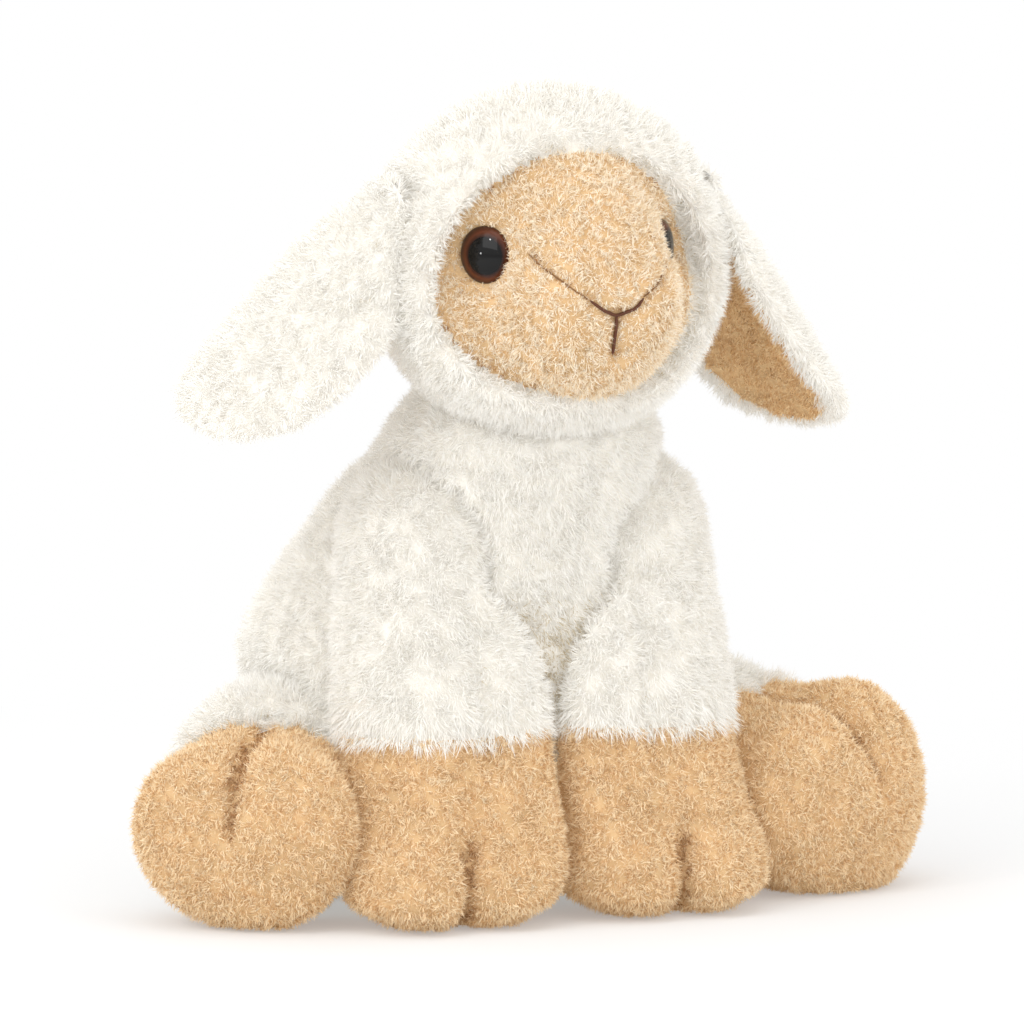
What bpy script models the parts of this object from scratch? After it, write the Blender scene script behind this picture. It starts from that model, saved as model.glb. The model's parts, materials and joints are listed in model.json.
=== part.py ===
"""A sitting plush lamb: covers of pile fabric over polyester filling, with pellet bags in the seat and feet.

The lamb faces -Y and sits on the plane z = 0. The origin is the centre of its flat seat. "Right" and
"left" are the lamb's own, so its left side is at +X. Lengths are in metres.

Every stuffed form is a ball whose rings are moved to smooth elliptical stations along a straight axis.
A cover is such a form with a smaller copy of itself cut out and a seam opening at its root, and the
filling is a smaller copy again. Limbs and head turn in round hollows that share their pivots.
"""

import math

import bmesh
import bpy
import numpy as np
from mathutils import Matrix, Vector

# Fabric and fits
FABRIC = 0.0034
SEAM_GAP = 0.0003
FILL_GAP = 0.0005
TURN_GAP = 0.0010
FLAT_CUT = 0.0005
OVERRUN = 0.030
LEAST_WIDTH = 0.0004
LEAST_SHARE = 0.02

# Torso: a pear that leans forward, wide at the seat
TORSO_HEIGHT = 0.166
TORSO_HALF_WIDTH = 0.069
TORSO_HALF_DEPTH = 0.061
SEAT_SHIFT = 0.006
SEAT_ROUND = 0.014
NECK_ROUND = 0.022

# Head: a ball, widened and flattened in front above the chin, with an egg-shaped opening for the face
HEAD_RADIUS = 0.052
BROW_FLAT_SHARE = 0.36
BROW_WIDE_SHARE = 0.04
BROW_RISE = 0.035
HEAD_FORWARD = 0.058
HEAD_HEIGHT = 0.196
NECK_HOLE_RADIUS = 0.008

# Neck: the wad of filling that joins torso and head
NECK_RADIUS = 0.010
NECK_DEPTH = 0.018

# Face: a blunt muzzle set into the opening, narrow between the eyes and full at the cheeks
FACE_BACK = 0.0
FACE_TIP = 0.0555
FACE_LOWER = 0.008
FACE_SEAM_HALF_WIDTH = 0.0447
FACE_UP = 0.044
FACE_DOWN = 0.0325
MUZZLE_ROUND = 0.030
FACE_CUT = 0.010
SEAM_AT = 0.015
SEAM_FADE = 0.020
SEAM_BROW_SHIFT = 0.008
SEAM_CHIN_SHIFT = 0.0125
BRIDGE_PINCH_SHARE = 0.25
NOSE_PINCH = 0.0022
NOSE_PINCH_HALF_WIDTH = 0.006
MOUTH_DROP = 0.010

# Eyes: domes on shanks, each held by a lock washer behind the fabric
EYE_OUT = 0.0270
EYE_FORWARD = 0.0191
EYE_UP = 0.0036
EYE_TURN = math.radians(57)
EYE_RADIUS = 0.0085
EYE_DOME = 0.0044
EYE_RIM = 0.0008
SHANK_RADIUS = 0.0022
SHANK_LENGTH = 0.0130
WASHER_RADIUS = 0.0065
WASHER_THICKNESS = 0.0014
SOCKET_RADIUS = 0.0130
SOCKET_DEPTH = 0.0140

# Ears: leaves folded down on both sides of a spine, each turned its own way at rest, (right, left)
EAR_OUT = 0.0525
EAR_RISE = math.radians(25)
EAR_BACK = 0.0060
EAR_LENGTH = 0.0890
EAR_SLOPES = (math.radians(49), math.radians(56))
EAR_HALF_WIDTH = 0.0310
EAR_HALF_THICKNESS = 0.0062
EAR_ROOT_RADIUS = 0.0048
EAR_SWEEP = 0.0090
EAR_FOLDED_AT = 0.26
EAR_TIP_FOLD_SHARE = 0.62
EAR_FOLDS = (math.radians(56), math.radians(72))
EAR_TURNS = (math.radians(24), math.radians(-16))
EAR_RIM = 0.0042
EAR_LINING_HALF_THICKNESS = 0.0030
EAR_TIP_ROUND = 0.024

# Forelegs: sleeves from the shoulder to the hem, and hooves with two toes below it
SHOULDER_OUT = 0.032
SHOULDER_FORWARD = 0.038
SHOULDER_HEIGHT = 0.112
SHOULDER_RADIUS = 0.024
HEM_HEIGHT = 0.056
LEG_HALF_WIDTH = 0.0285
LEG_HALF_DEPTH = 0.0260
HOOF_SHIFT = 0.028
HOOF_OUT = 0.0018
SOLE_ROUND = 0.011
TOE_CLEFT_DEPTH = 0.0105
TOE_CLEFT_HALF_WIDTH = 0.0075
TOE_CLEFT_HEIGHT = 0.024
SWING_GAP = 0.0024
HOOF_PASS = math.radians(9)

# Hind legs: thighs and broad feet that point forward and outward
HIP_OUT = 0.058
HIP_HEIGHT = 0.0365
HIP_RADIUS = 0.031
HIND_TURN = math.radians(36)
HIND_LENGTH = 0.0770
ANKLE_AT = 0.0360
FOOT_HALF_WIDTH = 0.0325
FOOT_HALF_HEIGHT = 0.0295
FOOT_ROUND = 0.017
FOOT_DROP = HIP_HEIGHT - FOOT_HALF_HEIGHT + FLAT_CUT
SPLAY_GAP = 0.0013
FOOT_CLEFT_DEPTH = 0.0076
FOOT_CLEFT_HALF_WIDTH = 0.0085
FOOT_CLEFT_LENGTH = 0.026

# Tail: a short stub that hangs down the back
TAIL_BACK = 0.058
TAIL_HEIGHT = 0.054
TAIL_RADIUS = 0.010
TAIL_LENGTH = 0.034
TAIL_HALF_WIDTH = 0.0120
TAIL_KICK = 0.008

# Pellet bags: half-lengths across and front to back, and height
SEAT_BAG = (0.030, 0.032, 0.016)
HOOF_BAG = (0.0170, 0.0120, 0.0120)
FOOT_BAG = (0.0170, 0.0130, 0.0120)
BAG_BACK = 0.004
BAG_MIDDLE = 0.006

# Rings and columns of the forms' meshes
BODY, BODY_INSIDE = (22, 13), (14, 8)
HEAD, HEAD_INSIDE = (24, 14), (16, 8)
FACE, FACE_INSIDE = (26, 15), (16, 10)
LIMB, LIMB_INSIDE = (18, 12), (10, 7)
EAR, EAR_INSIDE = (16, 10), (12, 8)
HOLLOW = (20, 12)
BAG = (10, 6)
ROUND_STEPS = 14

# Stations: along, sideways, forward, half-width, half-depth in front, half-depth behind, as shares
TORSO_SHARES = (
    (0.00, 0, -1.00, 0.86, 0.84, 0.84),
    (0.09, 0, -0.80, 0.98, 0.97, 0.98),
    (0.27, 0, -0.40, 1.00, 1.00, 1.00),
    (0.40, 0, 0.30, 0.99, 0.96, 0.98),
    (0.48, 0, 0.96, 0.95, 0.90, 0.94),
    (0.66, 0, 3.40, 0.73, 0.73, 0.77),
    (0.81, 0, 5.60, 0.61, 0.64, 0.65),
    (0.90, 0, 6.70, 0.55, 0.57, 0.59),
    (1.00, 0, 7.20, 0.51, 0.53, 0.55),
)
FACE_SHARES = (
    (0.00, 0, 0, 1.000, 1.000, 1.000),
    (0.21, 0, 0, 1.000, 1.000, 1.000),
    (0.27, 0, 0, 0.920, 0.975, 0.985),
    (0.33, 0, 0, 0.810, 0.945, 0.970),
    (0.39, 0, 0, 0.730, 0.920, 0.955),
    (0.45, 0, 0, 0.685, 0.890, 0.940),
    (0.54, 0, 0, 0.640, 0.840, 0.935),
    (0.67, 0, 0, 0.625, 0.800, 0.955),
    (0.80, 0, 0, 0.645, 0.720, 0.980),
    (0.90, 0, 0, 0.760, 0.520, 1.010),
    (1.00, 0, 0, 0.860, 0.450, 1.040),
)
EAR_SHARES = (
    (0.00, 0.00, 0, 0.50, 0.80, 0.80),
    (0.12, 0.06, 0, 0.66, 0.90, 0.90),
    (0.30, 0.24, 0, 0.94, 1.08, 1.08),
    (0.55, 0.52, 0, 1.04, 1.00, 1.00),
    (0.80, 0.80, 0, 0.94, 0.92, 0.92),
    (1.00, 1.00, 0, 0.84, 0.80, 0.80),
)
FORELEG_SHARES = (
    (0.00, 0, 0, 0.84, 0.92, 0.92),
    (0.18, 0, 0, 0.84, 0.92, 0.92),
    (0.36, 0.1, 0.10, 0.95, 1.00, 1.00),
    (0.54, 0.3, 0.28, 1.00, 1.02, 0.98),
    (0.64, 0.5, 0.42, 0.98, 0.98, 0.92),
    (0.76, 0.8, 0.68, 1.00, 1.00, 0.92),
    (0.88, 1.0, 0.92, 1.13, 1.05, 1.00),
    (1.00, 1.0, 1.00, 1.13, 1.06, 1.02),
)
HIND_SHARES = (
    (0.00, 0, 1.00, 0.95, 1.05, 1.05),
    (0.30, 0, 1.00, 0.95, 1.05, 1.05),
    (0.46, 0, 0.86, 1.03, 1.12, 1.12),
    (0.60, 0, 0.36, 0.96, 1.02, 1.03),
    (0.70, 0, 0.10, 0.97, 0.98, 1.00),
    (0.84, 0, 0.00, 1.07, 1.02, 1.02),
    (0.93, 0, 0.00, 1.10, 1.04, 1.03),
    (1.00, 0, 0.00, 1.08, 1.02, 1.02),
)
TAIL_SHARES = (
    (0.00, 0, 0, 0.84, 0.84, 0.84),
    (0.30, 0, 0, 0.86, 0.86, 0.86),
    (0.65, 0, 0.6, 1.00, 1.00, 1.00),
    (1.00, 0, 1.0, 0.95, 0.95, 0.95),
)

# Colours, as sRGB values
WHITE_PILE = (0.96, 0.95, 0.91)
TAN_PILE = (0.88, 0.74, 0.55)
LINING_TAN = (0.80, 0.63, 0.42)
POLYESTER = (0.93, 0.93, 0.94)
BAG_CLOTH = (0.72, 0.75, 0.78)
EYE_BROWN = (0.16, 0.08, 0.05)
WASHER_WHITE = (0.86, 0.86, 0.84)

RIGHT, LEFT = -1, 1
SIDES = (("right", RIGHT), ("left", LEFT))


def clear_scene():
    for item in list(bpy.data.objects):
        bpy.data.objects.remove(item, do_unlink=True)


def new_collection(name):
    group = bpy.data.collections.new(name)
    bpy.context.scene.collection.children.link(group)
    return group


def material(name, colour, roughness):
    """A Principled material; the colour is given as sRGB."""
    made = bpy.data.materials.get(name)
    if made is None:
        made = bpy.data.materials.new(name)
        made.use_nodes = True
        linear = [c / 12.92 if c < 0.04045 else ((c + 0.055) / 1.055) ** 2.4 for c in colour]
        shader = made.node_tree.nodes["Principled BSDF"]
        shader.inputs["Base Color"].default_value = (*linear, 1)
        shader.inputs["Roughness"].default_value = roughness
        shader.inputs["Metallic"].default_value = 0
    return made


def add_object(name, mesh, place, group, finish=None):
    """Links a mesh into a collection. Without a finish it is a cutter, which isn't part of the lamb."""
    made = bpy.data.objects.new(name, mesh)
    made.matrix_world = place
    group.objects.link(made)
    if finish is None:
        made.hide_render = True
        made.display_type = "WIRE"
    else:
        mesh.materials.append(finish)
        mesh.shade_smooth()
    return made


def from_bmesh(name, bm):
    mesh = bpy.data.meshes.new(name)
    bm.to_mesh(mesh)
    bm.free()
    return mesh


def axes(origin, front, along):
    """The place whose local y and z run forward and along a form; x, sideways, follows from them."""
    front, along = Vector(front), Vector(along)
    place = Matrix((front.cross(along), front, along)).transposed().to_4x4()
    place.translation = Vector(origin)
    return place


def smooth_through(at, knots, values):
    """A smooth curve through the values at the knots that never overshoots them, read at each place."""
    steps = np.diff(values, axis=0) / np.diff(knots)[:, None]
    before, after = steps[:-1], steps[1:]
    level = before * after <= 0
    shared = np.where(level, 0, 2 * before * after / np.where(level, 1, before + after))
    slopes = np.vstack((steps[:1], shared, steps[-1:]))
    k = np.clip(np.searchsorted(knots, at, side="right") - 1, 0, len(knots) - 2)
    span = (knots[k + 1] - knots[k])[:, None]
    t = (at - knots[k])[:, None] / span
    return (
        (2 * t**3 - 3 * t**2 + 1) * values[k]
        + (t**3 - 2 * t**2 + t) * span * slopes[k]
        + (3 * t**2 - 2 * t**3) * values[k + 1]
        + (t**3 - t**2) * span * slopes[k + 1]
    )


class StuffedForm:
    """A form of elliptical stations along local z, rounded at both ends.

    half is (half-width, half-depth in front, half-depth behind), which the last three columns of the
    shares scale. drift is how far the middle line moves (sideways, forward) at a share of 1. start is
    the local z of the root end, and rounds are the lengths over which the two ends are rounded.
    warp moves the finished points.
    """

    def __init__(self, length, start, half, shares, drift, rounds, warp=None):
        self.length = length
        self.start = start
        self.rounds = rounds
        self.warp = warp
        table = np.array(shares, float)
        self.knots = table[:, 0]
        self.values = table[:, 1:] * np.array((*drift, *half))

    def points(self, columns, rings, inset):
        """The points of every ring, from the root to the end, each ring from the front round."""
        share = (1 - np.cos(np.linspace(0, math.pi, rings + 1))) / 2
        reach = inset + share * (self.length - 2 * inset)
        side, forward, *half = smooth_through(reach / self.length, self.knots, self.values).T
        cap = np.ones_like(reach)
        for room, far in zip(self.rounds, (reach - inset, self.length - inset - reach)):
            depth = np.clip(1 - far / max(room - inset, LEAST_WIDTH), 0, 1)
            cap *= np.sqrt(np.clip(1 - depth**2, 0, 1))
        width, front, back = (np.maximum(h - inset, LEAST_WIDTH) * cap for h in half)
        turn = math.pi / 2 + np.linspace(0, 2 * math.pi, columns, endpoint=False)
        cos, sin = np.cos(turn), np.sin(turn)
        x = side[:, None] + width[:, None] * cos
        y = forward[:, None] + np.where(sin > 0, front[:, None], back[:, None]) * sin
        z = np.broadcast_to((self.start + reach)[:, None], x.shape)
        found = np.stack((x, y, z), axis=2)
        if self.warp is None:
            return found
        return self.warp(found.reshape(-1, 3), inset).reshape(found.shape)

    def mesh(self, name, size, inset=0.0, grown=0.0):
        """A ball with as many rings and columns, moved to the form's points and grown along its normals."""
        columns, rings = size
        points = self.points(columns, rings, inset)
        bm = bmesh.new()
        bmesh.ops.create_uvsphere(bm, u_segments=columns, v_segments=rings, radius=1)
        for vertex in bm.verts:
            spot = vertex.co
            ring = round(math.acos(max(-1.0, min(1.0, -spot.z))) / math.pi * rings)
            turn = math.atan2(spot.y, spot.x) - math.pi / 2
            column = round(turn / (2 * math.pi) * columns) % columns
            vertex.co = points[ring, column] if 0 < ring < rings else points[ring].mean(axis=0)
        bmesh.ops.triangulate(bm, faces=[f for f in bm.faces if len(f.verts) > 3])
        bmesh.ops.recalc_face_normals(bm, faces=bm.faces)
        bm.normal_update()
        for vertex, normal in [(v, v.normal.copy()) for v in bm.verts]:
            vertex.co += normal * grown
        return from_bmesh(name, bm)


class Maker:
    """Adds pieces to the lamb's collection and cutters to theirs."""

    def __init__(self, parts, cutters):
        self.parts = parts
        self.cutters = cutters

    def piece(self, name, form, place, finish, size, inset=0.0, grown=0.0):
        return add_object(name, form.mesh(name, size, inset, grown), place, self.parts, finish)

    def cutter(self, name, form, place, size, inset=0.0, grown=0.0):
        return add_object(name, form.mesh(name, size, inset, grown), place, self.cutters)

    def ball(self, name, radius, centre, steps=HOLLOW, finish=None, warp=None):
        """A ball: a cutter, or with a finish a piece. warp moves its points."""
        bm = bmesh.new()
        bmesh.ops.create_uvsphere(bm, u_segments=steps[0], v_segments=steps[1], radius=radius)
        if warp is not None:
            for vertex in bm.verts:
                vertex.co = warp(vertex.co)
        group = self.cutters if finish is None else self.parts
        return add_object(name, from_bmesh(name, bm), Matrix.Translation(centre), group, finish)

    def block(self, name, low, high, place=None):
        """A box cutter between two corners, in the place's own axes."""
        low, high = Vector(low), Vector(high)
        bm = bmesh.new()
        bmesh.ops.create_cube(bm, size=1)
        bmesh.ops.scale(bm, vec=high - low, verts=bm.verts)
        bmesh.ops.translate(bm, vec=(high + low) / 2, verts=bm.verts)
        return add_object(name, from_bmesh(name, bm), place or Matrix(), self.cutters)

    def rod(self, name, radius, low, high, place, finish=None, steps=ROUND_STEPS):
        """A cylinder along local z from low to high: a cutter, or with a finish a piece."""
        bm = bmesh.new()
        bmesh.ops.create_cone(
            bm, cap_ends=True, segments=steps, radius1=radius, radius2=radius, depth=high - low
        )
        bmesh.ops.translate(bm, vec=(0, 0, (high + low) / 2), verts=bm.verts)
        group = self.cutters if finish is None else self.parts
        return add_object(name, from_bmesh(name, bm), place, group, finish)


def boolean(target, operation, *others):
    for other in others:
        step = target.modifiers.new(other.name, "BOOLEAN")
        step.operation = operation
        step.solver = "EXACT"
        step.object = other


def cut(target, *cutters):
    boolean(target, "DIFFERENCE", *cutters)


def torso_form():
    half = (TORSO_HALF_WIDTH, TORSO_HALF_DEPTH, TORSO_HALF_DEPTH)
    length = TORSO_HEIGHT + FLAT_CUT
    return StuffedForm(length, -FLAT_CUT, half, TORSO_SHARES, (0, SEAT_SHIFT), (SEAT_ROUND, NECK_ROUND))


def torso_place():
    return axes((0, 0, 0), (0, -1, 0), (0, 0, 1))


def head_centre():
    return Vector((0, -HEAD_FORWARD, HEAD_HEIGHT))


def shape_hood(spot):
    """Flattens the front of the head and widens it, more and more from the chin up to its centre."""
    rise = min(max(1 + spot.z / BROW_RISE, 0), 1)
    rise = rise * rise * (3 - 2 * rise)
    depth = spot.y * (1 - BROW_FLAT_SHARE * rise) if spot.y < 0 else spot.y
    return Vector((spot.x * (1 + BROW_WIDE_SHARE * rise), depth, spot.z))


def face_place():
    """Local x runs sideways, y up and z forward, from the head's centre."""
    return axes(head_centre(), (0, 0, 1), (0, -1, 0))


def eye_spot(side):
    """The middle of an eye's back, and the way that it looks, in the face's place."""
    spot = np.array((side * EYE_OUT, EYE_UP, EYE_FORWARD))
    look = np.array((side * math.sin(EYE_TURN), 0, math.cos(EYE_TURN)))
    return spot, look


def shape_face(points, inset):
    """Sets the seam forward at brow and chin, narrows the bridge, draws the face in round each eye,
    and pinches a shallow line from the nose down to the mouth."""
    moved = points.copy()
    high, low = np.clip(moved[:, 1] / FACE_UP, 0, 1), np.clip(-moved[:, 1] / FACE_DOWN, 0, 1)
    fade = np.clip(1 - (moved[:, 2] - SEAM_AT) / SEAM_FADE, 0, 1)
    moved[:, 0] *= 1 - BRIDGE_PINCH_SHARE * high * high * (3 - 2 * high) * (1 - fade)
    moved[:, 2] += (SEAM_BROW_SHIFT * high**2 + SEAM_CHIN_SHIFT * low**2) * fade
    moved[:, 1] -= FACE_LOWER
    for side in (RIGHT, LEFT):
        spot, look = eye_spot(side)
        away = moved - spot
        ahead = away @ look
        off = np.linalg.norm(away - ahead[:, None] * look, axis=1)
        near = np.exp(-((off / SOCKET_RADIUS) ** 4)) * (ahead > -EYE_RADIUS)
        sink = np.clip(ahead + inset, 0, SOCKET_DEPTH) * near
        moved -= sink[:, None] * look
    low = np.clip((-moved[:, 1] - FACE_LOWER) / MOUTH_DROP, 0, 1)
    middle = np.exp(-((moved[:, 0] / NOSE_PINCH_HALF_WIDTH) ** 2))
    tip = np.clip(moved[:, 2] / FACE_TIP, 0, 1) ** 8
    moved[:, 2] -= NOSE_PINCH * low * middle * tip
    return moved


def face_form():
    """The face's stations run forward; they are measured from a level a little below the head's centre."""
    half = (FACE_SEAM_HALF_WIDTH, FACE_UP, FACE_DOWN)
    return StuffedForm(
        FACE_TIP - FACE_BACK, FACE_BACK, half, FACE_SHARES, (0, 0), (LEAST_WIDTH, MUZZLE_ROUND), shape_face
    )


def add_opening(make, name, gap):
    """The straight egg-shaped opening in the hood, wider and deeper than the face's rim by a gap."""
    opening = make.rod(name, 1, FACE_CUT - gap, HEAD_RADIUS + OVERRUN, face_place(), steps=FACE[0])
    for vertex in opening.data.vertices:
        vertex.co.x *= FACE_SEAM_HALF_WIDTH + gap
        vertex.co.y *= (FACE_UP if vertex.co.y > 0 else FACE_DOWN) + gap
        vertex.co.y -= FACE_LOWER
    return opening


def shoulder(side):
    return Vector((side * SHOULDER_OUT, -SHOULDER_FORWARD, SHOULDER_HEIGHT))


def foreleg_place(side):
    """Local z runs straight down from the shoulder, y forward and x sideways."""
    return axes(shoulder(side), (0, -1, 0), (0, 0, -1))


def cleft_toes(points, side):
    """Pinches the front of the hoof at its middle, deepest near the sole."""
    moved = points.copy()
    floor = SHOULDER_HEIGHT
    height = floor - moved[:, 2]
    fade = np.clip(1.6 * (1 - height / (2 * TOE_CLEFT_HEIGHT)), 0, 1)
    middle = np.exp(-(((moved[:, 0] - side * HOOF_OUT) / TOE_CLEFT_HALF_WIDTH) ** 2))
    front = np.clip((moved[:, 1] - HOOF_SHIFT) / LEG_HALF_DEPTH, 0, 1)
    moved[:, 1] -= TOE_CLEFT_DEPTH * fade * middle * np.sqrt(front)
    return moved


def foreleg_form(side):
    half = (LEG_HALF_WIDTH, LEG_HALF_DEPTH, LEG_HALF_DEPTH)
    length = SHOULDER_RADIUS + SHOULDER_HEIGHT + FLAT_CUT
    return StuffedForm(
        length,
        -SHOULDER_RADIUS,
        half,
        FORELEG_SHARES,
        (side * HOOF_OUT, HOOF_SHIFT),
        (SHOULDER_RADIUS, SOLE_ROUND),
        lambda points, _: cleft_toes(points, side),
    )


def hip(side):
    return Vector((side * HIP_OUT, 0, HIP_HEIGHT))


def hind_place(side):
    """Local z runs forward and outward from the hip, y up and x sideways."""
    out, ahead = math.sin(HIND_TURN), math.cos(HIND_TURN)
    along = Vector((side * out, -ahead, 0))
    return axes(hip(side), (0, 0, 1), along)


def cleft_foot(points, _):
    """Pinches the top of the foot at its middle, from the instep over the toes to the sole."""
    moved = points - np.array((0, FOOT_DROP, 0))
    middle = np.exp(-((moved[:, 0] / FOOT_CLEFT_HALF_WIDTH) ** 2))
    forward = np.clip((moved[:, 2] - ANKLE_AT) / (HIND_LENGTH - ANKLE_AT), 0, 1)
    top = FOOT_HALF_HEIGHT + FOOT_HALF_HEIGHT - HIP_HEIGHT
    high = np.clip(1 - (top - moved[:, 1]) / FOOT_CLEFT_LENGTH, 0, 1)
    pinch = FOOT_CLEFT_DEPTH * middle * np.sqrt(forward) * high
    moved[:, 1] -= pinch
    moved[:, 2] -= pinch * forward
    return moved


def hind_form():
    half = (FOOT_HALF_WIDTH, FOOT_HALF_HEIGHT, FOOT_HALF_HEIGHT)
    return StuffedForm(
        HIP_RADIUS + HIND_LENGTH,
        -HIP_RADIUS,
        half,
        HIND_SHARES,
        (0, FOOT_DROP),
        (HIP_RADIUS, FOOT_ROUND),
        cleft_foot,
    )


def ear_root(side):
    return head_centre() + Vector((side * EAR_OUT * math.cos(EAR_RISE), EAR_BACK, EAR_OUT * math.sin(EAR_RISE)))


def ear_place(side):
    """Local z runs from root to tip, y out of the ear's back, and x along the hinge."""
    slope = EAR_SLOPES[side > 0]
    out, down = math.cos(slope), math.sin(slope)
    return axes(ear_root(side), (side * down, 0, out), (side * out, 0, -down))


def fold_ear(points, side):
    """Bends the ear's two flanks down round its spine and turns them about it, from past the root on."""
    moved = points.copy()
    share = np.clip(moved[:, 2] / EAR_LENGTH, 0, 1)
    begun = np.clip(share / EAR_FOLDED_AT, LEAST_SHARE, 1)
    begun = begun * begun * (3 - 2 * begun)
    fold = EAR_FOLDS[side > 0] * begun * (1 - (1 - EAR_TIP_FOLD_SHARE) * share)
    spine = side * EAR_SWEEP * share
    bend = (moved[:, 0] - spine) / EAR_HALF_WIDTH * fold
    radius = EAR_HALF_WIDTH / fold
    out = radius + moved[:, 1]
    x, y = out * np.sin(bend), out * np.cos(bend) - radius
    turn = side * EAR_TURNS[side > 0] * begun
    moved[:, 0] = spine + x * np.cos(turn) - y * np.sin(turn)
    moved[:, 1] = y * np.cos(turn) + x * np.sin(turn)
    return moved


def ear_form(side, rim=0.0, thickness=EAR_HALF_THICKNESS, offset=0.0):
    """The whole ear, or with a rim its lining, which is smaller all round and lies inside the fold."""

    def warp(points, _):
        return fold_ear(points - np.array((0, offset, 0)), side)

    half = (EAR_HALF_WIDTH - rim, thickness, thickness)
    length = EAR_ROOT_RADIUS + EAR_LENGTH - rim
    drift = (side * EAR_SWEEP, 0)
    rounds = (EAR_ROOT_RADIUS, EAR_TIP_ROUND)
    return StuffedForm(length, -EAR_ROOT_RADIUS, half, EAR_SHARES, drift, rounds, warp)


def tail_root():
    return Vector((0, TAIL_BACK, TAIL_HEIGHT))


def tail_place():
    """Local z runs down from the root and y backward."""
    return axes(tail_root(), (0, 1, 0), (0, 0, -1))


def tail_form():
    half = (TAIL_HALF_WIDTH, TAIL_HALF_WIDTH, TAIL_HALF_WIDTH)
    rounds = (TAIL_RADIUS, TAIL_HALF_WIDTH)
    return StuffedForm(TAIL_RADIUS + TAIL_LENGTH, -TAIL_RADIUS, half, TAIL_SHARES, (0, TAIL_KICK), rounds)


def add_bag(make, name, half, spot, core, turn=0.0):
    """A bag of pellets that domes up from a core's underside. Gives the hollow for it in the filling."""
    place = Matrix.Translation(spot) @ Matrix.Rotation(turn, 4, "Z")
    made = []
    for ending, grown, group, finish in (
        ("_bag", 0.0, make.parts, material("bag_cloth", BAG_CLOTH, 0.8)),
        ("_bag_room", FILL_GAP, make.cutters, None),
    ):
        bm = bmesh.new()
        bmesh.ops.create_uvsphere(bm, u_segments=BAG[0], v_segments=BAG[1], radius=1)
        bmesh.ops.scale(bm, vec=[h + grown for h in half], verts=bm.verts)
        made.append(add_object(name + ending, from_bmesh(name + ending, bm), place, group, finish))
    bag, room = made
    boolean(bag, "INTERSECT", core)
    return room


def build_torso(make, shared):
    """The cover, its filling and the pellet bag in the seat."""
    form, place = torso_form(), torso_place()
    white = material("white_pile", WHITE_PILE, 0.95)
    cover = make.piece("torso_cover", form, place, white, BODY)
    cavity = make.cutter("torso_cavity", form, place, BODY_INSIDE, FABRIC)
    polyester = material("polyester", POLYESTER, 0.9)
    filling = make.piece("torso_filling", form, place, polyester, BODY_INSIDE, FABRIC, -FILL_GAP)
    core = make.cutter("torso_core", form, place, BODY_INSIDE, FABRIC, -FILL_GAP)
    bag_room = add_bag(make, "seat_pellet", SEAT_BAG, Vector((0, SEAT_SHIFT, BAG_MIDDLE)), core)
    neck_bore = make.rod(
        "neck_bore",
        NECK_RADIUS + TURN_GAP,
        -HEAD_RADIUS - NECK_DEPTH - SEAM_GAP,
        0,
        Matrix.Translation(head_centre()),
    )
    cut(cover, cavity, shared["floor"], neck_bore)
    cut(filling, bag_room, neck_bore)
    for item in (cover, filling):
        cut(item, shared["head_ball"], *shared["root_balls"])


def build_neck(make, shared):
    """The neck's filling fits the torso's bore, and the head rides on its hollow top."""
    neck = make.rod(
        "neck_filling",
        NECK_RADIUS,
        -HEAD_RADIUS - NECK_DEPTH,
        -HEAD_RADIUS + NECK_RADIUS,
        Matrix.Translation(head_centre()),
        material("polyester", POLYESTER, 0.9),
    )
    cut(neck, shared["head_ball"])


def build_head(make, shared):
    """The hood, the face set in its opening, and one filling for both."""
    centre = Matrix.Translation(head_centre())
    white = material("white_pile", WHITE_PILE, 0.95)
    hood = make.ball("head_cover", HEAD_RADIUS, head_centre(), HEAD, white, shape_hood)
    cavity = make.ball("hood_cavity", HEAD_RADIUS - FABRIC, head_centre(), HEAD_INSIDE, warp=shape_hood)
    opening = add_opening(make, "face_opening", SEAM_GAP)
    neck_hole = make.rod("neck_hole", NECK_HOLE_RADIUS, -HEAD_RADIUS - OVERRUN, 0, centre)
    cut(hood, cavity, opening, neck_hole, *shared["ear_slots"])

    form = face_form()
    tan = material("tan_pile", TAN_PILE, 0.95)
    panel = make.piece("face_panel", form, face_place(), tan, FACE)
    muzzle = make.cutter("muzzle_cavity", form, face_place(), FACE_INSIDE, FABRIC)
    back = make.block(
        "face_back",
        (-HEAD_RADIUS, -HEAD_RADIUS, -HEAD_RADIUS),
        (HEAD_RADIUS, HEAD_RADIUS, FACE_CUT),
        face_place(),
    )
    cut(panel, muzzle, back)

    inside = HEAD_RADIUS - FABRIC - FILL_GAP
    polyester = material("polyester", POLYESTER, 0.9)
    filling = make.ball("head_filling", inside, head_centre(), HEAD_INSIDE, polyester, shape_hood)
    face_room = add_opening(make, "face_room", FILL_GAP)
    muzzle_filling = make.cutter("muzzle_filling", form, face_place(), FACE_INSIDE, FABRIC, -FILL_GAP)
    cut(filling, face_room)
    boolean(filling, "UNION", muzzle_filling)
    cut(filling, *shared["ear_slots"])
    return panel, filling


def turned(name, outline, place, make, finish, closed=False):
    """A profile of (radius, height) points, open or closed, turned about local z."""
    bm = bmesh.new()
    verts = [bm.verts.new((r, 0, z)) for r, z in outline]
    for a, b in zip(verts, verts[1:] + verts[:1] if closed else verts[1:]):
        bm.edges.new((a, b))
    made = add_object(name, from_bmesh(name, bm), place, make.parts, finish)
    screw = made.modifiers.new("turn", "SCREW")
    screw.steps = screw.render_steps = ROUND_STEPS
    screw.use_merge_vertices = True
    screw.merge_threshold = SEAM_GAP / 10
    return made


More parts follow.
